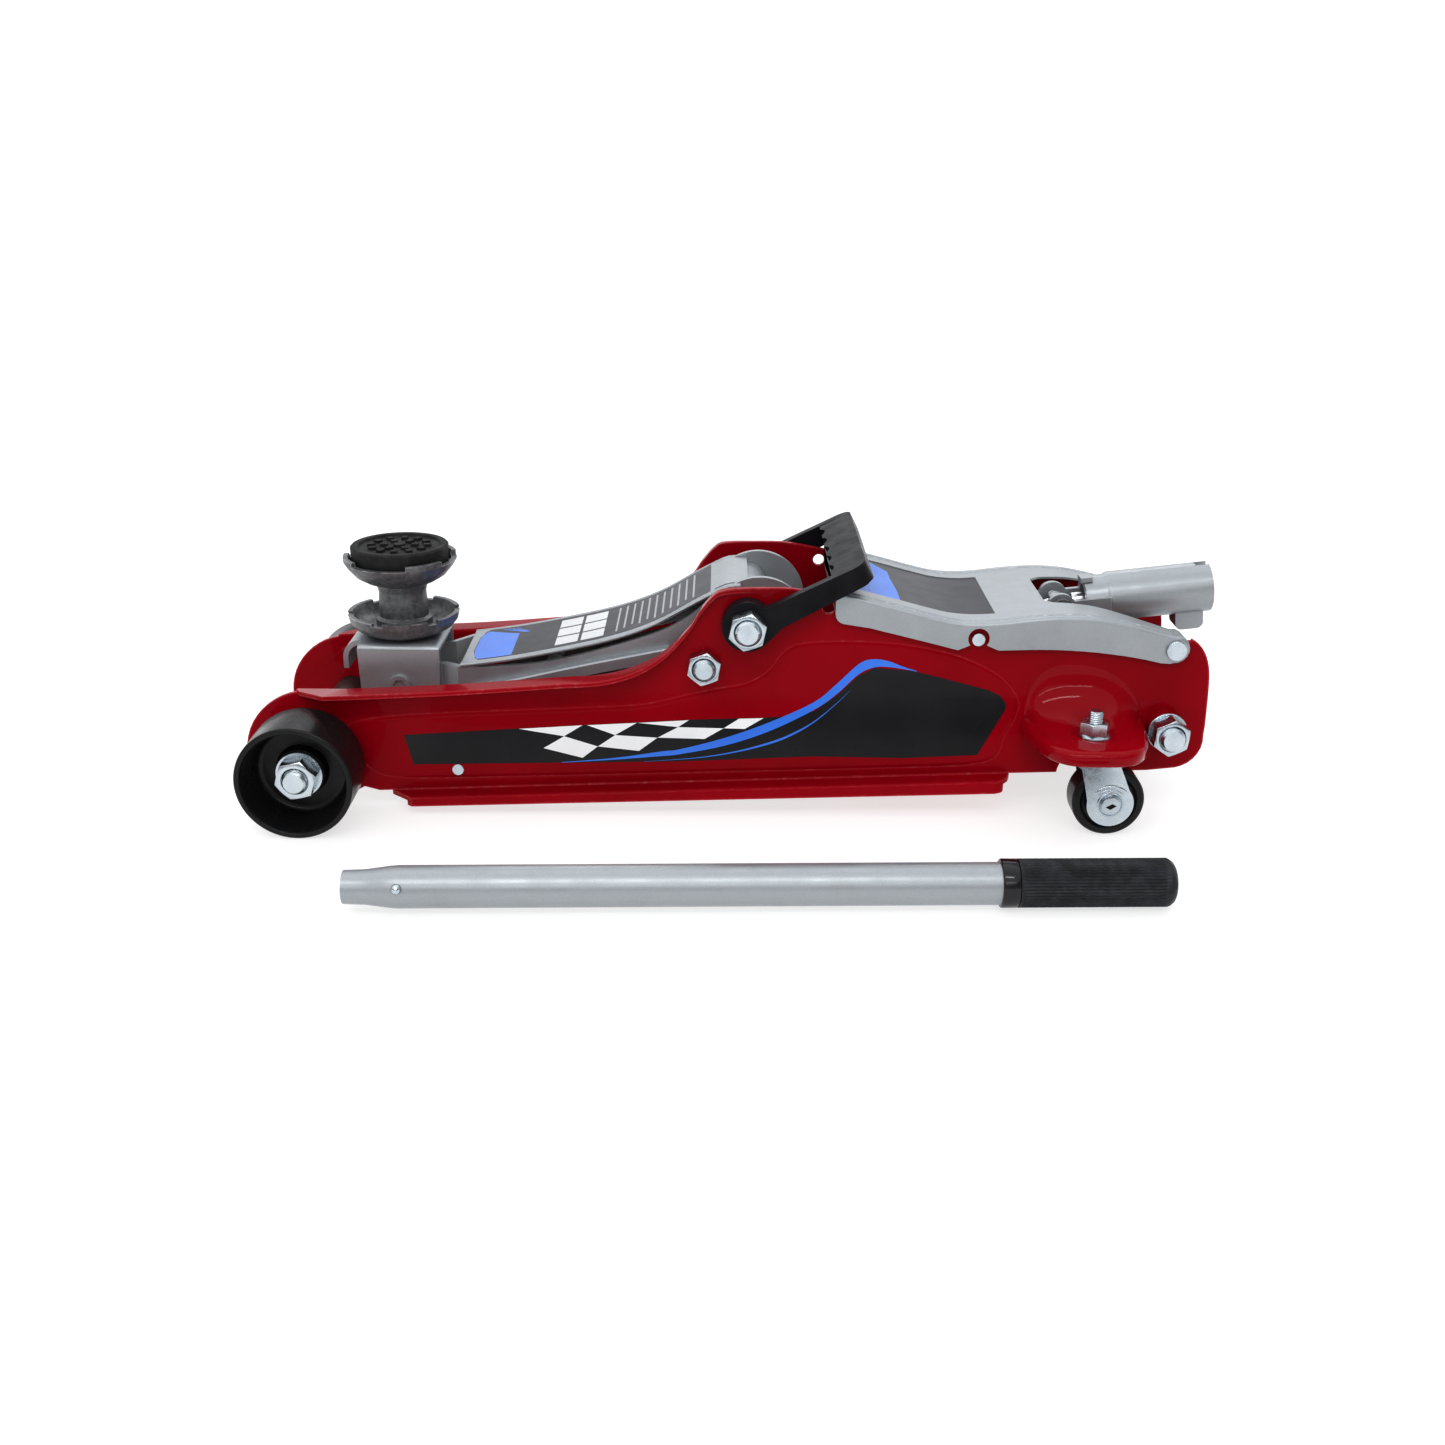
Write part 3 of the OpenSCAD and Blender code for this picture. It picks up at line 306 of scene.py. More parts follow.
def dark_steel():
    s = Shader("dark_steel", (0.13, 0.13, 0.135), 0.42, metallic=0.9)
    s.mottle(s.noise(50, 5), 0.35, 0.7, (0.10, 0.10, 0.105), (0.2, 0.19, 0.18))
    s.sheen(90, 5, 0.32, 0.55)
    s.bump(s.noise(420, 4), 0.2, 0.0003)
    return s.mat


def cast_iron():
    s = Shader("cast_iron", (0.11, 0.11, 0.115), 0.6, metallic=0.4)
    grain = s.noise(330, 5, 0.7)
    s.mottle(grain, 0.35, 0.65, (0.075, 0.075, 0.08), (0.15, 0.15, 0.155))
    s.sheen(60, 5, 0.5, 0.75)
    s.bump(grain, 0.5, 0.0008)
    return s.mat


def wheel_black():
    s = Shader("wheel_black", (0.012, 0.012, 0.013), 0.24)
    s.set("Specular IOR Level", 0.3)
    dust = s.spread(s.noise(70, 6, 0.7), 0.55, 0.8, 0.0, 0.4)
    s.link(s.mix_color(dust, (0.010, 0.010, 0.011), (0.045, 0.045, 0.045)), "Base Color")
    s.sheen(50, 5, 0.16, 0.42)
    s.bump(s.noise(300, 3), 0.12, 0.0003)
    s.bump(s.noise(25, 2), 0.2, 0.001)
    return s.mat


def pad_rubber():
    s = Shader("pad_rubber", (0.010, 0.010, 0.011), 0.68)
    s.mottle(s.noise(130, 6, 0.7), 0.45, 0.75, (0.007, 0.007, 0.008), (0.026, 0.026, 0.027))
    s.sheen(90, 4, 0.6, 0.85)
    s.bump(s.noise(800, 4), 0.3, 0.0004)
    return s.mat


def carry_plastic():
    s = Shader("carry_plastic", (0.012, 0.012, 0.014), 0.38)
    s.set("Specular IOR Level", 0.12)
    s.mottle(s.noise(40, 4), 0.35, 0.7, (0.008, 0.008, 0.010), (0.018, 0.018, 0.022))
    s.sheen(70, 5, 0.26, 0.44)
    s.bump(s.cells(1500), 0.25, 0.0002)
    return s.mat


def grip_rubber():
    s = Shader("grip_rubber", (0.018, 0.019, 0.022), 0.45)
    s.set("Specular IOR Level", 0.35)
    s.mottle(s.noise(110, 5), 0.4, 0.75, (0.014, 0.015, 0.018), (0.04, 0.042, 0.05))
    s.sheen(200, 5, 0.32, 0.6)
    s.bump(s.noise(900, 3), 0.2, 0.0002)
    return s.mat


def collar_gloss():
    s = Shader("collar_gloss", (0.010, 0.010, 0.012), 0.12)
    s.sheen(80, 5, 0.07, 0.2)
    s.link(s.mix_color(s.noise(60, 4), (0.008, 0.008, 0.010), (0.016, 0.016, 0.019)), "Base Color")
    s.bump(s.noise(400, 3), 0.05, 0.0002)
    return s.mat


def vinyl(name, color, other):
    roughness = 0.3
    s = Shader(name, color, roughness, coat=0.15, coat_roughness=0.08)
    s.set("Specular IOR Level", 0.2)
    s.mottle(s.noise(24, 5), 0.3, 0.75, color, other)
    s.sheen(60, 3, roughness - 0.03, roughness + 0.05)
    s.bump(s.noise(40, 2), 0.03, 0.0003)
    return s.mat


def spring_wire():
    s = Shader("spring_wire", (0.45, 0.45, 0.47), 0.3, metallic=1.0)
    s.link(s.mix_color(s.noise(160, 4), (0.36, 0.36, 0.38), (0.58, 0.58, 0.6)), "Base Color")
    s.sheen(300, 4, 0.22, 0.42)
    s.bump(s.noise(900, 3), 0.1, 0.0001)
    return s.mat


def floor_material():
    s = Shader("studio_floor", (0.32, 0.32, 0.32), 0.6)
    s.link(s.mix_color(s.noise(2, 3), (0.31, 0.31, 0.31), (0.33, 0.33, 0.33)), "Base Color")
    s.set("Emission Color", (1.0, 1.0, 1.0, 1.0))
    s.set("Emission Strength", 0.72)
    return s.mat


# ---- mesh helpers ----
def finish_mesh(name, bm, body, materials, replaces=(), sharp=32):
    """The bmesh as an object riding on the body; with no body it is left unattached."""
    bmesh.ops.remove_doubles(bm, verts=bm.verts, dist=1e-6)
    bmesh.ops.recalc_face_normals(bm, faces=bm.faces)
    for face in bm.faces:
        face.smooth = True
    for edge in bm.edges:
        edge.smooth = edge.is_manifold and edge.calc_face_angle(0) < math.radians(sharp)
    mesh = bpy.data.meshes.new(name)
    bm.to_mesh(mesh)
    bm.free()
    for material in materials:
        mesh.materials.append(material)
    piece = bpy.data.objects.new(name, mesh)
    bpy.context.collection.objects.link(piece)
    if body:
        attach(piece, body)
    if replaces:
        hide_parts(*replaces)
    return piece


def frame_on(point, direction, turn=0.0):
    """A matrix whose z runs along the direction from the point."""
    axis = Vector(direction).normalized()
    spin = Matrix.Rotation(math.radians(turn), 4, "Z")
    return Matrix.Translation(point) @ axis.to_track_quat("Z", "Y").to_matrix().to_4x4() @ spin


def circle(steps):
    """Angles once round, evenly spaced."""
    return [2 * math.pi * k / steps for k in range(steps)]


def vert(bm, x, y, z):
    """A vertex at (x, z) in millimetres, y millimetres out from the jack's middle plane."""
    return bm.verts.new((x * MM, MID_Y + y * MM, z * MM))


def ring_at(bm, place, radii, height):
    """A ring of vertices about the z of place, one radius for each step, in millimetres."""
    points = [Vector((r * math.cos(a), r * math.sin(a), height)) for a, r in zip(circle(len(radii)), radii)]
    return [bm.verts.new(place @ (point * MM)) for point in points]


def lathe(bm, place, profile, steps=64, material=0):
    """Turns the (radius, height) profile, in millimetres, about the z of place."""
    rings = []
    for radius, height in profile:
        count = steps if radius > 1e-6 else 1
        rings.append(ring_at(bm, place, [radius] * count, height))
    skin(bm, rings, material)


def skin(bm, rings, material=0, closed=True):
    """Faces between neighbouring rings; a ring of one vertex is a tip."""
    for a, b in zip(rings, rings[1:]):
        count = max(len(a), len(b))
        for k in range(count if closed else count - 1):
            n = (k + 1) % count
            corners = [a[k % len(a)], a[n % len(a)], b[n % len(b)], b[k % len(b)]]
            unique = list(dict.fromkeys(corners))
            if len(unique) > 2:
                bm.faces.new(unique).material_index = material


def hexagon_radius(flats, angle):
    """Distance from the middle of a hexagon to its outline at that angle."""
    return flats / 2 / math.cos((angle % (math.pi / 3)) - math.pi / 6)


def hex_nut(bm, place, flats, bore, low, high):
    """A hexagon nut with chamfered corners and a countersunk bore."""
    steps = 72
    start = flats / 2 * 0.96
    slope = math.tan(math.radians(28))
    sink = 1.0
    corners = [hexagon_radius(flats, a) for a in circle(steps)]
    rings = []
    for z, inwards in ((low, 1), (high, -1)):
        outer = []
        for a, r in zip(circle(steps), corners):
            drop = max(0.0, r - start) * slope
            point = Vector((r * math.cos(a), r * math.sin(a), z + inwards * drop))
            outer.append(bm.verts.new(place @ (point * MM)))
        loops = [
            ring_at(bm, place, [bore] * steps, z + inwards * sink),
            ring_at(bm, place, [bore + sink] * steps, z),
            ring_at(bm, place, [start] * steps, z),
            outer,
        ]
        rings += loops[::inwards]
    skin(bm, rings + [rings[0]])


def threads(bm, place, radius, low, high, pitch, chamfer=1.4):
    """A threaded stud end: a helical ridge, a chamfer and a flat end at the high end."""
    steps, per_pitch = 40, 6
    depth = pitch * 0.45
    rows = max(2, round((high - low) / pitch * per_pitch))
    rings = [ring_at(bm, place, [0], low)]
    for row in range(rows + 1):
        z = low + (high - low) * row / rows
        phases = [(z / pitch - k / steps) % 1.0 for k in range(steps)]
        end = radius - chamfer + (high - z)
        radii = [min(radius - depth * abs(2 * phase - 1), end) for phase in phases]
        rings.append(ring_at(bm, place, radii, z))
    skin(bm, rings + [ring_at(bm, place, [0], high)])


def prism_y(bm, outline, y0, y1, material=0):
    """A flat solid between two planes across Y; the outline is (x, z) in metres."""
    front = [bm.verts.new((x, y0, z)) for x, z in outline]
    back = [bm.verts.new((x, y1, z)) for x, z in outline]
    bm.faces.new(front).material_index = material
    bm.faces.new(back[::-1]).material_index = material
    for k in range(len(outline)):
        n = (k + 1) % len(outline)
        bm.faces.new((front[k], back[k], back[n], front[n])).material_index = material


def smooth_path(points, per_span=5):
    """Catmull-Rom points through the given ones."""
    made = []
    for i in range(len(points) - 1):
        a, b = Vector(points[max(i - 1, 0)]), Vector(points[i])
        c, d = Vector(points[i + 1]), Vector(points[min(i + 2, len(points) - 1)])
        for k in range(per_span):
            t = k / per_span
            made.append(0.5 * (2 * b + (c - a) * t + (2 * a - 5 * b + 4 * c - d) * t * t
                               + (3 * b - a - 3 * c + d) * t ** 3))
    made.append(Vector(points[-1]))
    return made


def round_edges(node, width, segments=2, angle=32):
    """Merges the CAD node's split faces, then rounds its sharp edges."""
    piece = NODES[node]
    weld = piece.modifiers.new("weld", "WELD")
    weld.merge_threshold = 2e-6
    flat = piece.modifiers.new("flat", "DECIMATE")
    flat.decimate_type = "DISSOLVE"
    flat.angle_limit = math.radians(0.4)
    bevel = piece.modifiers.new("bevel", "BEVEL")
    bevel.width = width * MM
    bevel.segments = segments
    bevel.limit_method = "ANGLE"
    bevel.angle_limit = math.radians(angle)
    bevel.miter_outer = "MITER_ARC"
    shade = piece.modifiers.new("shade", "WEIGHTED_NORMAL")
    shade.keep_sharp = False
    shade.weight = 60


def paint(node, material):
    slots = NODES[node].data.materials
    if not slots:
        slots.append(material)
    for k in range(len(slots)):
        slots[k] = material


# ---- fasteners ----
def side_nut_set(name, node, centre, y_in, washer, nut, steel, turn):
    """A nut of (flats, height, bore) on each side, over a washer of (radius, thickness) or None."""
    bm = bmesh.new()
    flats, height, bore = nut
    for _, side in SIDES:
        place = frame_on((centre.x, MID_Y + side * y_in * MM, centre.z), (0, side, 0), turn)
        start = 0.0
        if washer:
            r, t = washer
            hole = bore + 0.1
            face = [(r - 0.4, 0), (r, 0.4), (r, t - 0.4), (r - 0.4, t)]
            lathe(bm, place, [(hole, 0)] + face + [(hole, t), (hole, 0)])
            start = t + 0.1
        hex_nut(bm, place, flats, bore + 0.05, start, start + height)
    finish_mesh(name, bm, "frame", [steel], [node])


def stud_ends(name, node, centre, radius, thread, steel):
    """A shaft across the jack with a cut thread at each end."""
    bm = bmesh.new()
    reach = (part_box(node)[1].y - MID_Y) / MM
    plain = reach - thread
    neck = radius - 0.5
    for _, side in SIDES:
        place = frame_on((centre.x, MID_Y, centre.z), (0, side, 0))
        body = [(0, 0), (radius, 0), (radius, plain)]
        step = [(neck, plain + 0.4), (neck, plain + 0.8), (0, plain + 0.8)]
        lathe(bm, place, body + step, 48)
        threads(bm, place, radius, plain + 0.5, reach, 2.0)
    finish_mesh(name, bm, "frame", [steel], [node])


def node_middle(node):
    low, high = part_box(node)
    return (low + high) / 2


def make_fasteners(steel):
    axle = node_middle("front_axle")
    cross = node_middle("rear_cross_bolt")
    half_frame = (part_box("link_anchor_nuts")[1].y - MID_Y) / MM - 10.5
    side_nut_set("wheel_nuts", "front_wheel_nuts", axle, 96.3, (15.5, 2.7), (24, 11, 8), steel, 12)
    side_nut_set("pivot_nuts", "main_pivot_nuts", PIVOT, half_frame + 12.9, None, (22, 12.1, 8), steel, 18)
    side_nut_set("anchor_nuts", "link_anchor_nuts", ANCHOR, half_frame, None, (20, 10.5, 7), steel, 20)
    side_nut_set("cross_nuts", "rear_nuts", cross, half_frame + 9, (13, 2.4), (22, 12.5, 8), steel, 25)
    stud_ends("axle_shaft", "front_axle", axle, 8, 22, steel)
    stud_ends("pivot_shaft", "main_pivot_shaft", PIVOT, 8, 18, steel)
    stud_ends("anchor_shaft", "link_anchor_bolt", ANCHOR, 7, 16, steel)
    stud_ends("cross_shaft", "rear_cross_bolt", cross, 8, 20, steel)


def make_castor_nuts(steel):
    """Flanged nuts and threaded kingpin ends on top of the castor brackets."""
    bm = bmesh.new()
    pins = bmesh.new()
    for name, _ in SIDES:
        pos = Vector(JOINTS["castor_" + name + "_swivel"]["pos_m"])
        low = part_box("castor_nuts")[0].z / MM
        place = Matrix.Translation((pos.x, pos.y, 0))
        lathe(bm, place, [(5.2, low), (10.2, low), (10.5, low + 0.5), (10.3, low + 1.3), (8.2, low + 2.6),
                          (5.2, low + 2.6), (5.2, low)])
        turned = place @ Matrix.Rotation(math.radians(8), 4, "Z")
        hex_nut(bm, turned, 17, 5.1, low + 2.0, low + 10.4)
        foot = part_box("castor_kingpins")[0].z / MM
        lathe(pins, place, [(0, foot), (6, foot), (7, foot + 0.5), (7, foot + 1.2), (5, foot + 1.4), (5, low),
                            (4.4, low + 0.5), (0, low + 0.5)], 40)
        threads(pins, place, 5, low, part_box("castor_kingpins")[1].z / MM, 1.5, 1.0)
    finish_mesh("castor_flange_nuts", bm, "frame", [steel], ["castor_nuts"])
    finish_mesh("castor_pins", pins, "frame", [steel], ["castor_kingpins"])


# ---- springs ----
def coil(bm, start, end, radius, wire, turns):
    """A wire helix from start to end, with closed tips; radius and wire in millimetres."""
    length = (end - start).length / MM
    place = frame_on(start, end - start)
    per_turn = 20
    total = round(turns * per_turn)
    rings = []
    for k in range(total + 1):
        a = 2 * math.pi * k / per_turn
        centre = Vector((radius * math.cos(a), radius * math.sin(a), length * k / total))
        out = Vector((math.cos(a), math.sin(a), 0))
        up = Vector((0, 0, 1))
        wires = [centre + out * wire * math.cos(b) + up * wire * math.sin(b) for b in circle(10)]
        rings.append([bm.verts.new(place @ (point * MM)) for point in wires])
    last = 2 * math.pi * total / per_turn
    tips = (Vector((radius, 0, 0)), Vector((radius * math.cos(last), radius * math.sin(last), length)))
    first_tip, last_tip = ([bm.verts.new(place @ (tip * MM))] for tip in tips)
    skin(bm, [first_tip] + rings + [last_tip])


def make_return_springs(wire):
    """Two coils, each ending in an eye round the crank pin and one round its stud."""
    bm = bmesh.new()
    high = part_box("return_springs")[1]
    crank = node_middle("crank_pin")
    y_out = high.y - 5.5 * MM
    stud_x = high.x - 8.2 * MM
    eye = 9 * MM
    for y in (y_out, 2 * MID_Y - y_out):
        near, far = (Vector((x, y, crank.z)) for x in (crank.x + eye, stud_x - eye))
        coil(bm, near, far, radius=4.4, wire=1.0, turns=30)
        for x, bore in ((crank.x, 6.4), (stud_x, 5.4)):
            ring = [(bore + 1 + math.cos(a), math.sin(a)) for a in circle(10) + [0.0]]
            lathe(bm, frame_on((x, y, crank.z), (0, 1, 0)), ring, 32)
    piece = finish_mesh("return_spring_coils", bm, None, [wire], ["return_springs"])
    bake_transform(piece)


def make_pump_spring(wire):
    bm = bmesh.new()
    low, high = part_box("pump_spring")
    middle = (low + high) / 2
    start = Vector((middle.x, middle.y, low.z + 0.7 * MM))
    end = Vector((middle.x, middle.y, high.z - 0.7 * MM))
    coil(bm, start, end, radius=6.7, wire=0.7, turns=5)
    piece = finish_mesh("pump_spring_coil", bm, None, [wire], ["pump_spring"])
    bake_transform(piece)


# ---- rounded copies of CAD nodes ----
def node_mesh(node):
    """The CAD node's mesh as bmesh, its split faces merged."""
    bm = bmesh.new()
    bm.from_mesh(NODES[node].data)
    bmesh.ops.remove_doubles(bm, verts=bm.verts, dist=2e-6)
    bmesh.ops.dissolve_limit(bm, angle_limit=math.radians(0.4), verts=bm.verts, edges=bm.edges)
    return bm


def side_of(co):
    """Distance from the jack's middle plane in millimetres, whichever side."""
    return abs(co.y - MID_Y) / MM


def bend(bm, test, radius, segments=4, clamp=False, least=25):
    """Rounds the convex edges whose two ends pass the test."""
    picked = []
    for edge in bm.edges:
        if edge.is_manifold and edge.is_convex and edge.calc_face_angle(0) > math.radians(least):
            if test(edge.verts[0].co) and test(edge.verts[1].co):
                picked.append(edge)
    corners = list({v for e in picked for v in e.verts})
    bmesh.ops.bevel(bm, geom=picked + corners, offset=radius * MM, offset_type="OFFSET", segments=segments,
                    profile=0.5, affect="EDGES", clamp_overlap=clamp, miter_outer="ARC")


def soften(piece, width, angle=32):
    bevel = piece.modifiers.new("bevel", "BEVEL")
    bevel.width = width * MM
    bevel.segments = 2
    bevel.limit_method = "ANGLE"
    bevel.angle_limit = math.radians(angle)
    bevel.miter_outer = "MITER_ARC"
    shade = piece.modifiers.new("shade", "WEIGHTED_NORMAL")
    shade.weight = 60


def offset_outline(points, distance):
    """Moves a counter-clockwise (x, z) outline inwards by the distance."""
    moved = []
    for k in range(len(points)):
        a, b, c = points[k - 1], points[k], points[(k + 1) % len(points)]
        n1 = Vector((a[1] - b[1], b[0] - a[0])).normalized()
        n2 = Vector((b[1] - c[1], c[0] - b[0])).normalized()
        n = (n1 + n2).normalized()
        moved.append((b[0] + n.x * distance, b[1] + n.y * distance))
    return moved


def slab(bm, outline, y_from, y_to, material=0):
    """A thin prism over an (x, z) outline in millimetres; y counts out from the middle plane."""
    prism_y(bm, [(x * MM, z * MM) for x, z in outline], MID_Y + y_from * MM, MID_Y + y_to * MM, material)


# ---- side plates and their decals ----
EMBOSS = [
    (-256, 58), (-236, 63.5), (-191, 67), (-148, 69), (-105, 71), (-62, 73.4), (-35, 79.5), (-13.5, 84.5),
    (8.5, 88.9), (23, 98), (32, 110), (47, 117), (95, 117.5), (139.5, 110.4), (169.6, 97.4), (184, 84),
    (188, 72), (180, 52), (168, 34), (100, 29.5), (0, 26.5), (-150, 22), (-225, 21), (-246, 30), (-256, 46)
]
PANEL = [
    (-219.5, 51.8), (-214.3, 30.7), (-120, 32.4), (-35.8, 33.8), (53.9, 37.9), (113.7, 37.0), (162.9, 39.4),
    (179.4, 71.7), (179.5, 76.4), (175, 81.9), (167.4, 85.5), (140.5, 92.7), (116.7, 98.7), (91.8, 100.6),
    (81.7, 95.2), (67.5, 81.1), (53, 70.1), (38.3, 66.6), (19.1, 65.3), (-29.7, 63.6), (-143, 56.8)
]
BAND_TOP = [
    (-114.9, 32.9), (-79.9, 36.1), (-47.9, 41), (-35.8, 42.6), (-6, 50.9), (23.6, 62.2), (52.9, 76.6),
    (67.2, 89.2), (81.4, 103.2), (90.1, 106.6), (100.3, 105.5), (110.7, 101.5), (119.6, 98.6)
]
BAND_LOW = [
    (-114.9, 32.5), (-79.9, 34.8), (-47.9, 37.6), (-35.8, 39.0), (-6, 45.3), (23.7, 55.8), (53, 71.1),
    (67.5, 82.1), (81.7, 96.2), (91.8, 101.0), (100.3, 101.3), (110.7, 99.9), (119.6, 98.2)
]
LINE = [
    (-60, 33.6), (-23.9, 36.8), (1.5, 41.5), (23.8, 48), (38.6, 54.3), (53.2, 63.1), (67.7, 75.9), (77, 85.6)
]
CHECKS = (
    ((-143, 56.6), (-112.9, 51.5), (-100.4, 59.4)),
    ((-97.5, 59.5), (-78.9, 52.5), (-64.3, 61.3)),
    ((-64, 61.3), (-37, 58.4), (-29.7, 63.4)),
    ((3.5, 64.6), (-6.8, 57.7), (7.3, 57.3), (19.8, 65.1)),
    ((-112.9, 51.5), (-126.9, 42.9), (-101, 36), (-90.6, 44.3)),
    ((-78.9, 52.5), (-90.6, 44.3), (-63.2, 41.2), (-50.7, 50.8)),
    ((-37, 58.4), (-50.7, 50.8), (-19.4, 50), (-6.8, 57.7)),
)


def relief(bm, outline, y_base, height, slope, side):
    """A raised panel with a sloped rim, standing on the plane y_base."""
    top = offset_outline(outline, slope)
    rings = []
    for points, y in ((outline, y_base - 0.5), (outline, y_base), (top, y_base + height)):
        rings.append([vert(bm, x, side * y, z) for x, z in points])
    skin(bm, rings)
    bm.faces.new(rings[-1])


def closed_smooth(points, per_span=4):
    """Catmull-Rom points through the given ones, all the way round."""
    made = []
    count = len(points)
    for i in range(count):
        a, b, c, d = (Vector(points[(i + k) % count]) for k in (-1, 0, 1, 2))
        for k in range(per_span):
            t = k / per_span
            made.append(tuple(0.5 * (2 * b + (c - a) * t + (2 * a - 5 * b + 4 * c - d) * t * t
                                     + (3 * b - a - 3 * c + d) * t ** 3)))
    return made


def make_side_plate(name, side, red):
    """The CAD plate with rounded folds at its flanges and the raised panel under the decal."""
    bm = node_mesh(name)
    sheet = 3

    def inner_face(p):
        return abs(side_of(p) - (PLATE_OUT - sheet)) < 0.2

    def top_fold(p):
        return inner_face(p) and p.z > 0.082 and -0.287 < p.x < -0.022

    def bottom_fold(p):
        return inner_face(p) and p.z < 0.029 and -0.246 < p.x < 0.184

    def lip_edge(p):
        under_lip = 0.018 + 0.0349 * p.x
        return side_of(p) > PLATE_OUT + 14 and p.x < 0.176 and under_lip < p.z < 0.03

    bend(bm, top_fold, 3.6)
    bend(bm, bottom_fold, 3.0)
    bend(bm, lip_edge, 2.6)
    relief(bm, closed_smooth(EMBOSS[::-1]), PLATE_OUT, EMBOSS_H, 3.4, side)
    piece = finish_mesh(name + "_pressed", bm, "frame", [red], [name], 30)
    soften(piece, 0.5)


def band_outline(top, low):
    """The closed outline between a smooth upper line and a smooth lower one."""
    upper = [tuple(p) for p in smooth_path(top, 5)]
    lower = [tuple(p) for p in smooth_path(low, 5)]
    return upper + lower[::-1]


def make_side_decal(side_name, side, inks):
    """A black panel with a slanted chequered flag, and a blue sweep with a thin line below it."""
    bm = bmesh.new()
    base = PLATE_OUT + EMBOSS_H

    def layer(outline, low, high, ink):
        slab(bm, outline, side * (base + low), side * (base + high), ink)

    layer(PANEL, 0.02, 0.14, 0)
    for check in CHECKS:
        layer(check, 0.1, 0.2, 1)
    layer(band_outline(BAND_TOP, BAND_LOW), 0.1, 0.24, 2)
    thickest, tip = 1.7, 0.1
    middle = (len(LINE) - 1) / 2
    low = [(x, z - thickest * (1 - abs(k / middle - 1)) - tip) for k, (x, z) in enumerate(LINE)]
    layer(band_outline(LINE, low), 0.1, 0.22, 2)
    slots = [inks["black"], inks["white"], inks["blue"]]
    finish_mesh("side_decal_" + side_name, bm, "frame", slots)


# ---- castor brackets ----
RIM_HALF = 33.3
RIM_OUT = 62.7
RIM_ROUND = 4.2


def bracket_rim(u, half, out):
    """The skirt's outline in plan: u runs from 0 to 1 round the outside, millimetres."""
    a = math.pi * u
    square, widening, shift = 0.55, 8, -1
    share = max(0.0, math.sin(a)) ** square
    across = math.copysign(abs(math.cos(a)) ** square, math.cos(a))
    return Vector((shift + (half + widening * (1 - share)) * across, out * share))


def bracket_surface(u, v, top):
    """A point (x, out, z) on the flare: v = 0 on the skirt's rounded rim, v = 1 on the side plate."""
    rim = bracket_rim(u, RIM_HALF - RIM_ROUND, RIM_OUT - RIM_ROUND)
    a = math.pi * u
    reach, fall = (49.4, 1.4) if u < 0.5 else (27.5, 0.9)
    wall_x = -12 + reach * math.copysign(abs(math.cos(a)) ** 0.8, math.cos(a))
    wall_z = 3 + 34.5 * max(0.0, math.sin(a)) ** fall
    along = math.sin(v * math.pi / 2)
    rise = (1 - math.cos(v * math.pi / 2)) ** 1.35
    x = rim.x + (wall_x - rim.x) * (0.3 * along + 0.7 * rise)
    return Vector((x, rim.y * (1 - along), top + wall_z * rise))


def bracket_levels(foot, top):
    """Heights and insets up the skirt: a turned-in foot, the wall and the rounded rim."""
    levels = [(foot + 1.2, 1.6), (foot, 1.3), (foot, 0.6), (foot + 0.7, 0.0), (top - RIM_ROUND, 0.0)]
    for k in range(1, 6):
        a = math.pi / 2 * k / 5
        levels.append((top - RIM_ROUND + RIM_ROUND * math.sin(a), RIM_ROUND * (1 - math.cos(a))))
    return levels


def make_brackets(red):
    """Pressed castor brackets: a skirt, a rounded rim and a hollow flare up to the side plate."""
    bm = bmesh.new()
    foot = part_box("castor_brackets")[0].z / MM
    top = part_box("castor_nuts")[0].z / MM
    us = [0.5 - 0.5 * math.cos(math.pi * k / 56) for k in range(57)]
    seat, rise = 10.5, 7
    for name, side in SIDES:
        pos = Vector(JOINTS["castor_" + name + "_swivel"]["pos_m"])
        king_x = pos.x / MM
        king_d = side_of(pos) - PLATE_OUT
        rings = []
        for z, inset in bracket_levels(foot, top):
            rim = [bracket_rim(u, RIM_HALF - inset, RIM_OUT - inset) for u in us]
            rings.append([(p.x, p.y, z) for p in rim])
        for k in range(1, 17):
            flare = [bracket_surface(u, k / 16, top) for u in us]
            lifts = [(math.hypot(p.x, p.y - king_d) - seat) / rise for p in flare]
            shares = [min(1.0, max(0.0, lift)) for lift in lifts]
            rings.append([(p.x, p.y, top + (p.z - top) * share) for p, share in zip(flare, shares)])
        made = [[vert(bm, king_x + x, side * (PLATE_OUT + y), z) for x, y, z in ring] for ring in rings]
        skin(bm, made, closed=False)
        bm.faces.new(made[0])
    finish_mesh("castor_brackets_pressed", bm, "frame", [red], ["castor_brackets"], 50)


# ---- rear cover, arm cover and their decals ----
COVER_TOP = smooth_path([
    (65, 152.4), (87, 147), (106.5, 142), (126, 136.7), (140.5, 133.3), (155, 132), (171.5, 132.6),
    (190.5, 134.9), (205, 136.2), (220, 136.5), (236, 135.4), (255.5, 131.6), (275.5, 126.2), (286, 123.4)
], 4)
SHEET_TOP = smooth_path([
    (-184, 93.6), (-167, 95.6), (-147, 98.6), (-127, 102.4), (-107, 106.5), (-87, 111.2), (-67, 117.4),
    (-47, 126), (-27, 137.6), (-14, 144.6), (-4, 149), (9, 149.8)
], 4)


def height_on(curve, x):
    """Height of the (x, z) curve at x."""
    for a, b in zip(curve, curve[1:]):
        if a[0] <= x <= b[0]:
            return a[1] + (b[1] - a[1]) * (x - a[0]) / (b[0] - a[0])
    return curve[0][1] if x < curve[0][0] else curve[-1][1]


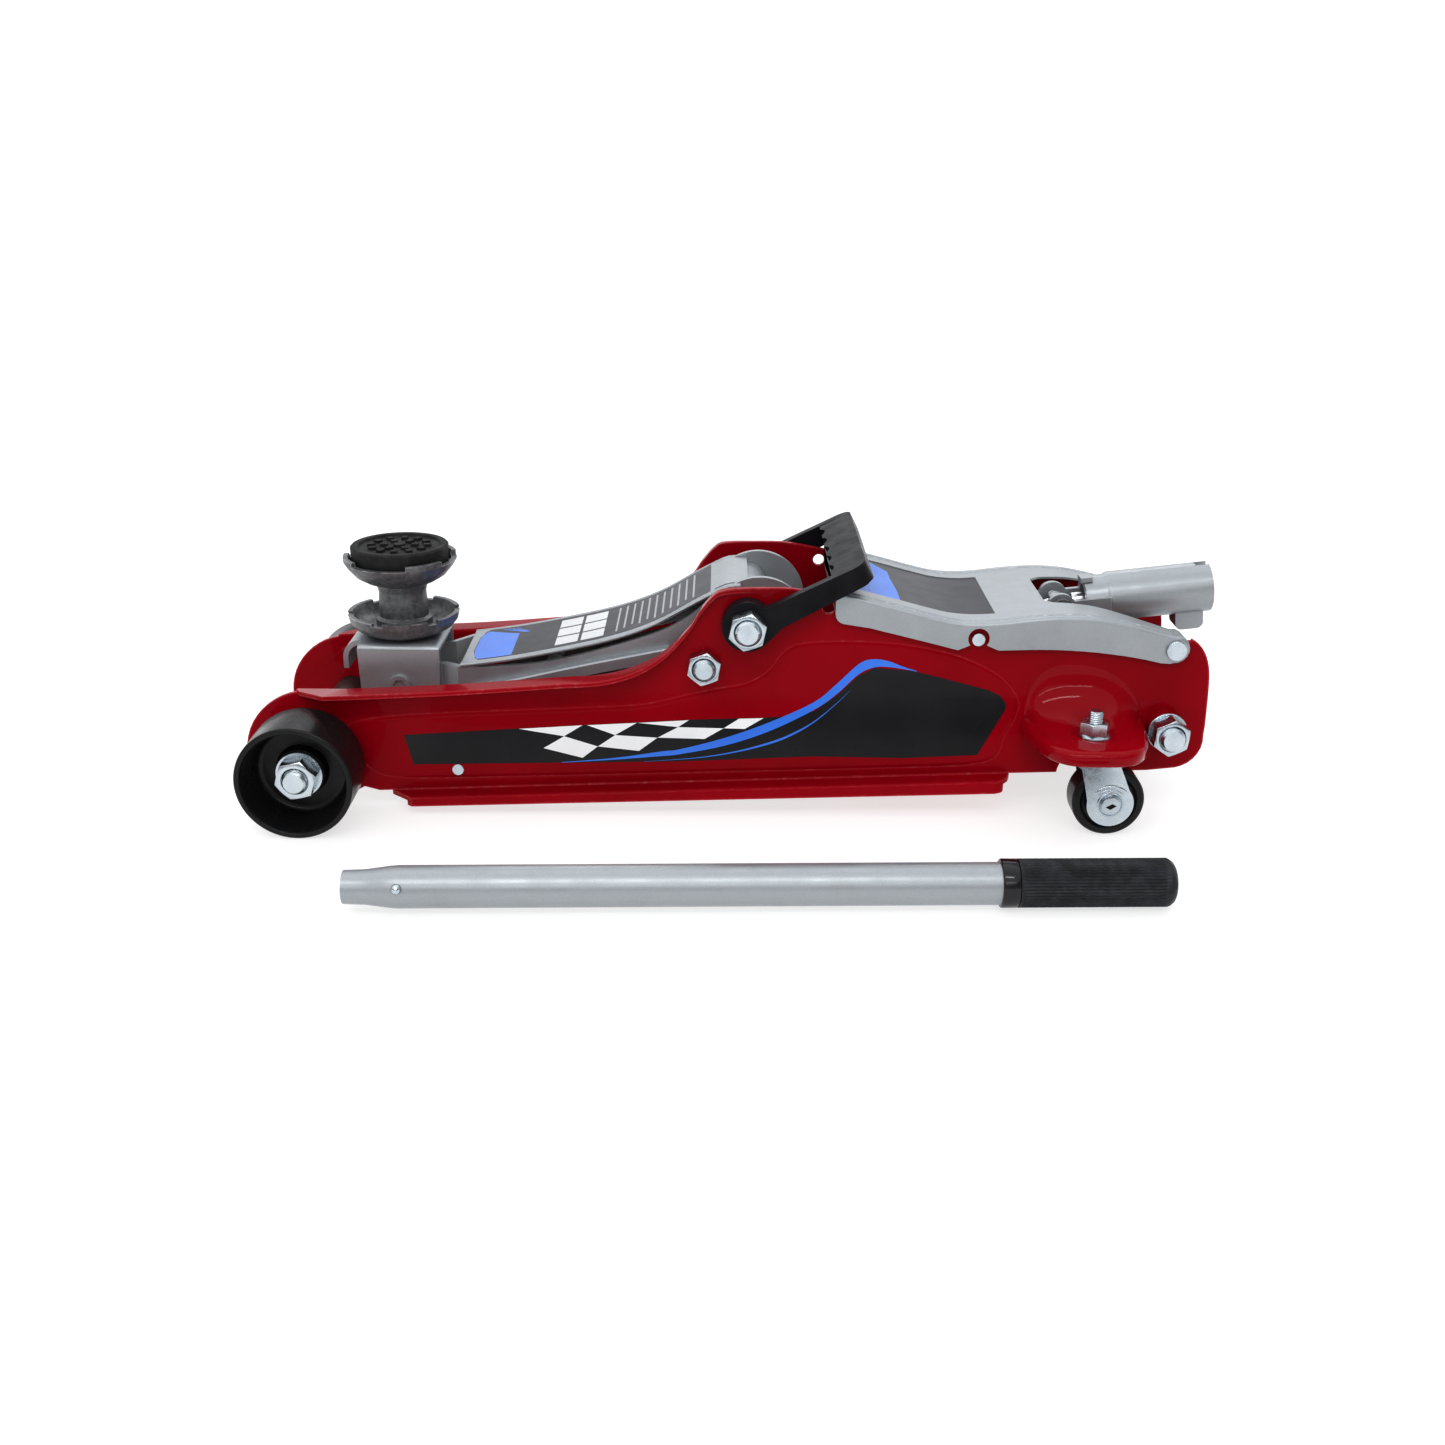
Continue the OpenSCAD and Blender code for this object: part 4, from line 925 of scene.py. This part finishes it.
def curved_patch(bm, curve, span, low, high, lift, thick, ink, steps=24):
    """A thin sheet lying on the curve; low and high give its y limits (from the middle) at a share 0..1."""
    x0, x1 = span
    rings = []
    for k in range(steps + 1):
        t = k / steps
        x = x0 + (x1 - x0) * t
        top = height_on(curve, x) + lift
        section = ((low(t), top), (high(t), top), (high(t), top - thick), (low(t), top - thick))
        rings.append([vert(bm, x, y, z) for y, z in section])
    skin(bm, rings, ink)
    for ring in (rings[0], rings[-1]):
        bm.faces.new(ring).material_index = ink


def cover_bead(bm, side):
    """The half-round bead pressed along one edge of the rear cover."""
    start, end, steps = 67.5, 284, 60
    place, half_width, height, sunk = 58.2, 1.7, 1.15, 0.35
    rings = []
    for k in range(steps + 1):
        x = start + (end - start) * k / steps
        slope = math.atan((height_on(COVER_TOP, x + 1) - height_on(COVER_TOP, x - 1)) / 2)
        top = height_on(COVER_TOP, x) - sunk
        ring = []
        for a in [math.pi * m / 8 for m in range(9)]:
            out = height * math.sin(a)
            y = side * (place + half_width * math.cos(a))
            ring.append(vert(bm, x - out * math.sin(slope), y, top + out * math.cos(slope)))
        rings.append(ring)
    skin(bm, rings)
    bm.faces.new(rings[0])
    bm.faces.new(rings[-1])


def make_rear_cover(silver):
    """The CAD cover with rounded long edges and a bead along each of them."""
    bm = node_mesh("rear_cover")
    half = side_of(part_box("rear_cover")[1])

    def long_edge(p):
        on_top = p.z / MM > height_on(COVER_TOP, p.x / MM) - 0.3
        at_back = p.x > 0.285 and p.z > 0.1035
        return abs(side_of(p) - half) < 0.2 and (on_top or at_back)

    bend(bm, long_edge, 2.4, segments=5)
    for _, side in SIDES:
        cover_bead(bm, side)
    piece = finish_mesh("rear_cover_pressed", bm, "frame", [silver], ["rear_cover"], 30)
    soften(piece, 0.35)


def make_cover_decal(inks):
    """A grey field with a blue end, lying between the cover's beads."""
    bm = bmesh.new()
    half = 43.6
    lift = -0.55
    above = lift + 0.08

    def blue_edge(t):
        return 43 - 18 * max(0.0, t - 0.6) / 0.4

    curved_patch(bm, COVER_TOP, (71, 175.4), lambda t: -half, lambda t: half, lift, 0.12, 0, 40)
    curved_patch(bm, COVER_TOP, (71, 107), lambda t: -half, blue_edge, above, 0.06, 1)
    curved_patch(bm, COVER_TOP, (107, 109), lambda t: -half, lambda t: 10 - 30 * t, above, 0.06, 1, 4)
    finish_mesh("cover_decal", bm, "frame", [inks["grey"], inks["sky"]])


def sheet_roll(bm, side):
    """The rolled edge along one side of the arm's cover sheet."""
    start, end, steps = -183.6, 4, 48
    place, half_width, half_height, sunk = 36.2, 1.8, 1.7, 1.3
    rings = []
    for k in range(steps + 1):
        x = start + (end - start) * k / steps
        z = height_on(SHEET_TOP, x) - sunk
        ring = [(side * (place + half_width * math.cos(a)), z + half_height * math.sin(a)) for a in circle(10)]
        rings.append([vert(bm, x, y, h) for y, h in ring])
    skin(bm, rings)
    bm.faces.new(rings[0])
    bm.faces.new(rings[-1])


def make_arm_cover(silver):
    """The CAD sheet with rounded sides and a rolled edge along each of them."""
    bm = node_mesh("arm_cover_sheet")
    half = side_of(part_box("arm_cover_sheet")[1])

    def depth(p):
        return height_on(SHEET_TOP, p.x / MM) - p.z / MM

    bend(bm, lambda p: abs(side_of(p) - half) < 0.2 and depth(p) < 0.2, 1.3, segments=3)
    bend(bm, lambda p: abs(side_of(p) - half) < 0.2 and depth(p) > 2, 0.9, segments=3)
    for _, side in SIDES:
        sheet_roll(bm, side)
    piece = finish_mesh("arm_cover_rolled", bm, "lift_arm", [silver], ["arm_cover_sheet"], 30)
    soften(piece, 0.3)


def make_arm_decal(inks):
    """A grey field with a blue end, thin blue strokes, six blank pale boxes and plain lines."""
    bm = bmesh.new()

    def mark(span, low, high, ink, steps):
        curved_patch(bm, SHEET_TOP, span, low, high, 0.22, 0.08, ink, steps)

    def edge(side, share):
        return lambda t: side * (14 + 19 * min(1.0, t / share) ** 0.5)

    curved_patch(bm, SHEET_TOP, (-178, -16), edge(-1, 0.03), edge(1, 0.03), 0.16, 0.14, 0, 60)
    mark((-177.5, -150), edge(-0.97, 0.15), lambda t: 14 + 18 * min(1.0, t * 6) ** 0.5 - 17 * t, 1, 20)
    for k in range(4):
        x = -163 + 3.2 * k
        low = 29.4 - 0.2 * k
        mark((x, x + 17 - 2.2 * k), lambda t, y=low: y - 13 * t, lambda t, y=low: y + 1.2 - 13 * t, 1, 8)
    for x in (-121, -103.5):
        for y in (-28.5, -9, 10.5):
            mark((x, x + 15.5), lambda t, y=y: y, lambda t, y=y: y + 17, 2, 6)
    for k in range(11):
        x = -80 + 5.2 * k
        low = -27 + (k * 7 % 5) * 1.4
        mark((x, x + 1.3), lambda t, y=low: y, lambda t: 27, 3, 2)
    slots = [inks["grey"], inks["sky"], inks["pale"], inks["dim"]]
    finish_mesh("arm_decal", bm, "lift_arm", slots)


def make_arm_sides(silver):
    """The arm's side plates with the turned-out strip along their lower edges."""
    bm = node_mesh("arm_side_plates")
    line = [(-176, 78), (-142.4, 85.5), (-119.4, 90.7), (-90.8, 97.0), (-62.2, 102.8), (-43.7, 106.6)]
    inside, crease, outside = 35.5, 40.4, 42.6
    for _, side in SIDES:
        rings = []
        for x, z in line:
            section = [(inside, z), (outside - 1, z), (outside, z - 1), (outside, z - 8), (crease, z - 8),
                       (crease, z - 3), (inside, z - 3)]
            rings.append([vert(bm, x, side * y, h) for y, h in section])
        skin(bm, rings)
        bm.faces.new(rings[0])
        bm.faces.new(rings[-1])
    replaced = ["arm_side_plates"]
    piece = finish_mesh("arm_sides_pressed", bm, "lift_arm", [silver], replaced, 30)
    soften(piece, 0.5)


# ---- saddle holder, carry handle, castor forks and grip ----
def make_holder(silver):
    """The CAD holder with the long upper edges of its inverted U rounded."""
    bm = node_mesh("saddle_holder")
    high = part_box("saddle_holder")[1]
    bend(bm, lambda p: abs(side_of(p) - side_of(high)) < 0.3 and high.z - p.z < 0.3 * MM, 5, segments=5)
    piece = finish_mesh("holder_bent", bm, "saddle_holder", [silver], ["saddle_holder"], 30)
    soften(piece, 0.7)


def make_carry_handle(plastic):
    """The CAD handle, its grip rounded but not the eyes round the pivot."""
    bm = node_mesh("carry_handle")
    eyes = 58 * MM
    bend(bm, lambda p: (p - PIVOT).length > eyes, 2.0, segments=3, clamp=True, least=40)
    replaced = ["carry_handle"]
    piece = finish_mesh("carry_handle_moulded", bm, "carry_handle", [plastic], replaced, 30)
    soften(piece, 0.9)


def fork_ridge(bm, wheel, face, radius, wire):
    """A pressed ridge that runs part of the way round the axle, on one leg of the fork."""
    first, sweep, steps = 35, 110, 24
    leg_face = 14.4
    rings = []
    for k in range(steps + 1):
        a = math.radians(first + sweep * k / steps)
        fade = math.sin(math.pi * k / steps) ** 0.4 if 0 < k < steps else 0.05
        ring = []
        for b in [math.pi * m / 6 for m in range(7)]:
            r = radius + wire * math.cos(b)
            y = face * (leg_face + wire * 0.9 * fade * math.sin(b))
            ring.append(bm.verts.new(wheel + Vector((r * math.cos(a), y, r * math.sin(a))) * MM))
        rings.append(ring)
    skin(bm, rings)


def make_forks(steel, dark):
    """Castor forks with pressed ridges, and their riveted axles with a black patch painted on each head as the
    shade in its square recess.
    """
    rivet_profile = [
        (0, -16.4), (5.6, -16.4), (6.4, -15.6), (6.4, -14.5), (4, -14.4), (4, 14.4), (8.6, 14.5), (8.6, 15.0),
        (8.2, 15.4), (7.6, 15.4), (7.0, 14.9), (6.2, 14.8), (6.1, 17.0), (5.7, 17.5), (0, 17.5)
    ]
    diamond = [(-3.6, -0.7), (-0.4, -2.3), (3.6, 0.2), (0.6, 1.7)]
    for name, side in SIDES:
        body = "castor_" + name
        fork = "castor_fork_" + name
        axle = "castor_axle_" + name
        wheel = Vector(JOINTS["castor_wheel_" + name + "_spin"]["pos_m"])
        bm = node_mesh(fork)
        for face in (-1, 1):
            fork_ridge(bm, wheel, face, 12.6, 1.1)
            fork_ridge(bm, wheel, face, 10.2, 0.6)
        soften(finish_mesh(fork + "_pressed", bm, body, [steel], [fork], 30), 0.5)
        rivet = bmesh.new()
        lathe(rivet, frame_on(wheel, (0, side, 0)), rivet_profile, 48)
        finish_mesh(axle + "_riveted", rivet, body, [steel], [axle])
        # Painted shade: a thin black patch on the rivet head stands for the shade inside its square recess;
        # the head itself is not hollowed.
        painted_shade = bmesh.new()
        points = [(wheel.x + x * MM, wheel.z + z * MM) for x, z in diamond]
        prism_y(painted_shade, points, wheel.y + side * 17.52 * MM, wheel.y + side * 17.2 * MM)
        finish_mesh("castor_rivet_painted_shade_" + name, painted_shade, body, [dark])


def make_grip(rubber, gloss):
    """The ribbed rubber grip with its smooth collar, lying along the loose handle."""
    bm = bmesh.new()
    tube = node_middle("handle_tube")
    axis = (0, tube.y - math.tan(HANDLE_YAW) * tube.x, node_middle("handle_grip").z)
    along = Matrix.Rotation(HANDLE_YAW, 4, "Z") @ Matrix.Rotation(math.pi / 2, 4, "Y")
    place = Matrix.Translation(axis) @ along
    start, end = 156.5, 260.0
    first, last = start + 10.5, end - 4.5
    outer, groove, ribs = 14.5, 0.75, 44
    steps, rows = 4 * ribs, 70
    rings = []
    for row in range(rows + 1):
        x = first + (last - first) * row / rows
        fade = min(1.0, row / 2, (rows - row) / 3)
        radii = []
        for a in circle(steps):
            wave = 0.16 * math.sin(x * 0.9 + 2.2 * math.sin(3 * a)) + 0.12 * math.sin(x * 2.3 + 5 * a)
            radii.append(outer - groove * fade * (0.5 + 0.5 * math.cos(ribs * a + 2.4 * wave)))
        rings.append(ring_at(bm, place, radii, x))
    for x, r in ((end - 3.2, 13.9), (end - 1.4, 12.6), (end - 0.4, 10.8), (end, 8.5)):
        rings.append(ring_at(bm, place, [r] * steps, x))
    rings.append(ring_at(bm, place, [0], end))
    skin(bm, rings)
    collar = [(12.72, start), (13.7, start), (14.3, start + 0.3), (14.6, start + 0.9), (14.6, start + 9.4),
              (14.3, start + 10.1), (13.8, start + 10.6)]
    lathe(bm, place, collar, 96, 1)
    finish_mesh("grip_ribbed", bm, "pump_handle", [rubber, gloss], ["handle_grip"], 40)


# ---- CAD nodes that stay ----
def dress_cad():
    red, silver, cast = red_paint(), silver_paint(), cast_silver()
    steel, turned, dark = zinc(), turned_steel(), dark_steel()
    iron, wheel, carry = cast_iron(), wheel_black(), carry_plastic()
    groups = (
        (red, 0.6, "bottom_tie_plate rear_spacer_tubes reservoir_tube"),
        (silver, 0.5, "arm_hub_tube holder_pins"),
        (silver, 1.0, "handle_socket"),
        (silver, 0.3, "handle_tube"),
        (cast, 0.9, "saddle_cup saddle_adapter"),
        (steel, 0.4, "stop_rod cover_screws socket_pivot_bolts spring_studs handle_button"),
        (turned, 0.5, "ram_rod pump_plunger pump_barrel cylinder_gland plunger_roller release_valve_stem"),
        (turned, 0.5, "release_coupling crank_pin"),
        (dark, 0.5, "front_axle_tubes pivot_spacers castor_bearings arm_tie_bar leveling_links"),
        (dark, 0.5, "plug_screws ram_cylinder"),
        (iron, 1.2, "power_unit_base"),
        (wheel, 0.5, "front_wheel_left front_wheel_right castor_wheel_left castor_wheel_right"),
        (pad_rubber(), 0.4, "saddle_pad"),
    )
    for material, width, names in groups:
        for name in names.split():
            paint(name, material)
            round_edges(name, width)
    return {"red": red, "silver": silver, "steel": steel, "carry": carry}


def make_inks():
    return {
        "black": vinyl("decal_black", (0.010, 0.010, 0.012), (0.018, 0.018, 0.020)),
        "white": vinyl("decal_white", (0.86, 0.87, 0.88), (0.78, 0.79, 0.8)),
        "blue": vinyl("decal_blue", (0.05, 0.20, 0.72), (0.07, 0.24, 0.8)),
        "sky": vinyl("decal_sky", (0.09, 0.23, 0.76), (0.12, 0.28, 0.82)),
        "grey": vinyl("decal_grey", (0.026, 0.027, 0.034), (0.038, 0.039, 0.047)),
        "pale": vinyl("decal_pale", (0.62, 0.63, 0.64), (0.7, 0.71, 0.72)),
        "dim": vinyl("decal_dim", (0.33, 0.34, 0.36), (0.42, 0.43, 0.45)),
    }


def make_all():
    make_camera()
    make_world()
    make_lights()
    set_view()
    make_floor()
    paints = dress_cad()
    inks = make_inks()
    steel = paints["steel"]
    for name, side in SIDES:
        make_side_plate("side_plate_" + name, side, paints["red"])
        make_side_decal(name, side, inks)
    make_brackets(red_paint("red_gloss", 1.24))
    make_rear_cover(paints["silver"])
    make_cover_decal(inks)
    make_arm_cover(paints["silver"])
    make_arm_decal(inks)
    make_arm_sides(paints["silver"])
    make_holder(paints["silver"])
    make_carry_handle(paints["carry"])
    # The black plastic also serves as the painted shade in the rivet recesses.
    make_forks(steel, paints["carry"])
    make_grip(grip_rubber(), collar_gloss())
    make_fasteners(steel)
    make_castor_nuts(steel)
    wire = spring_wire()
    make_return_springs(wire)
    make_pump_spring(wire)


make_all()
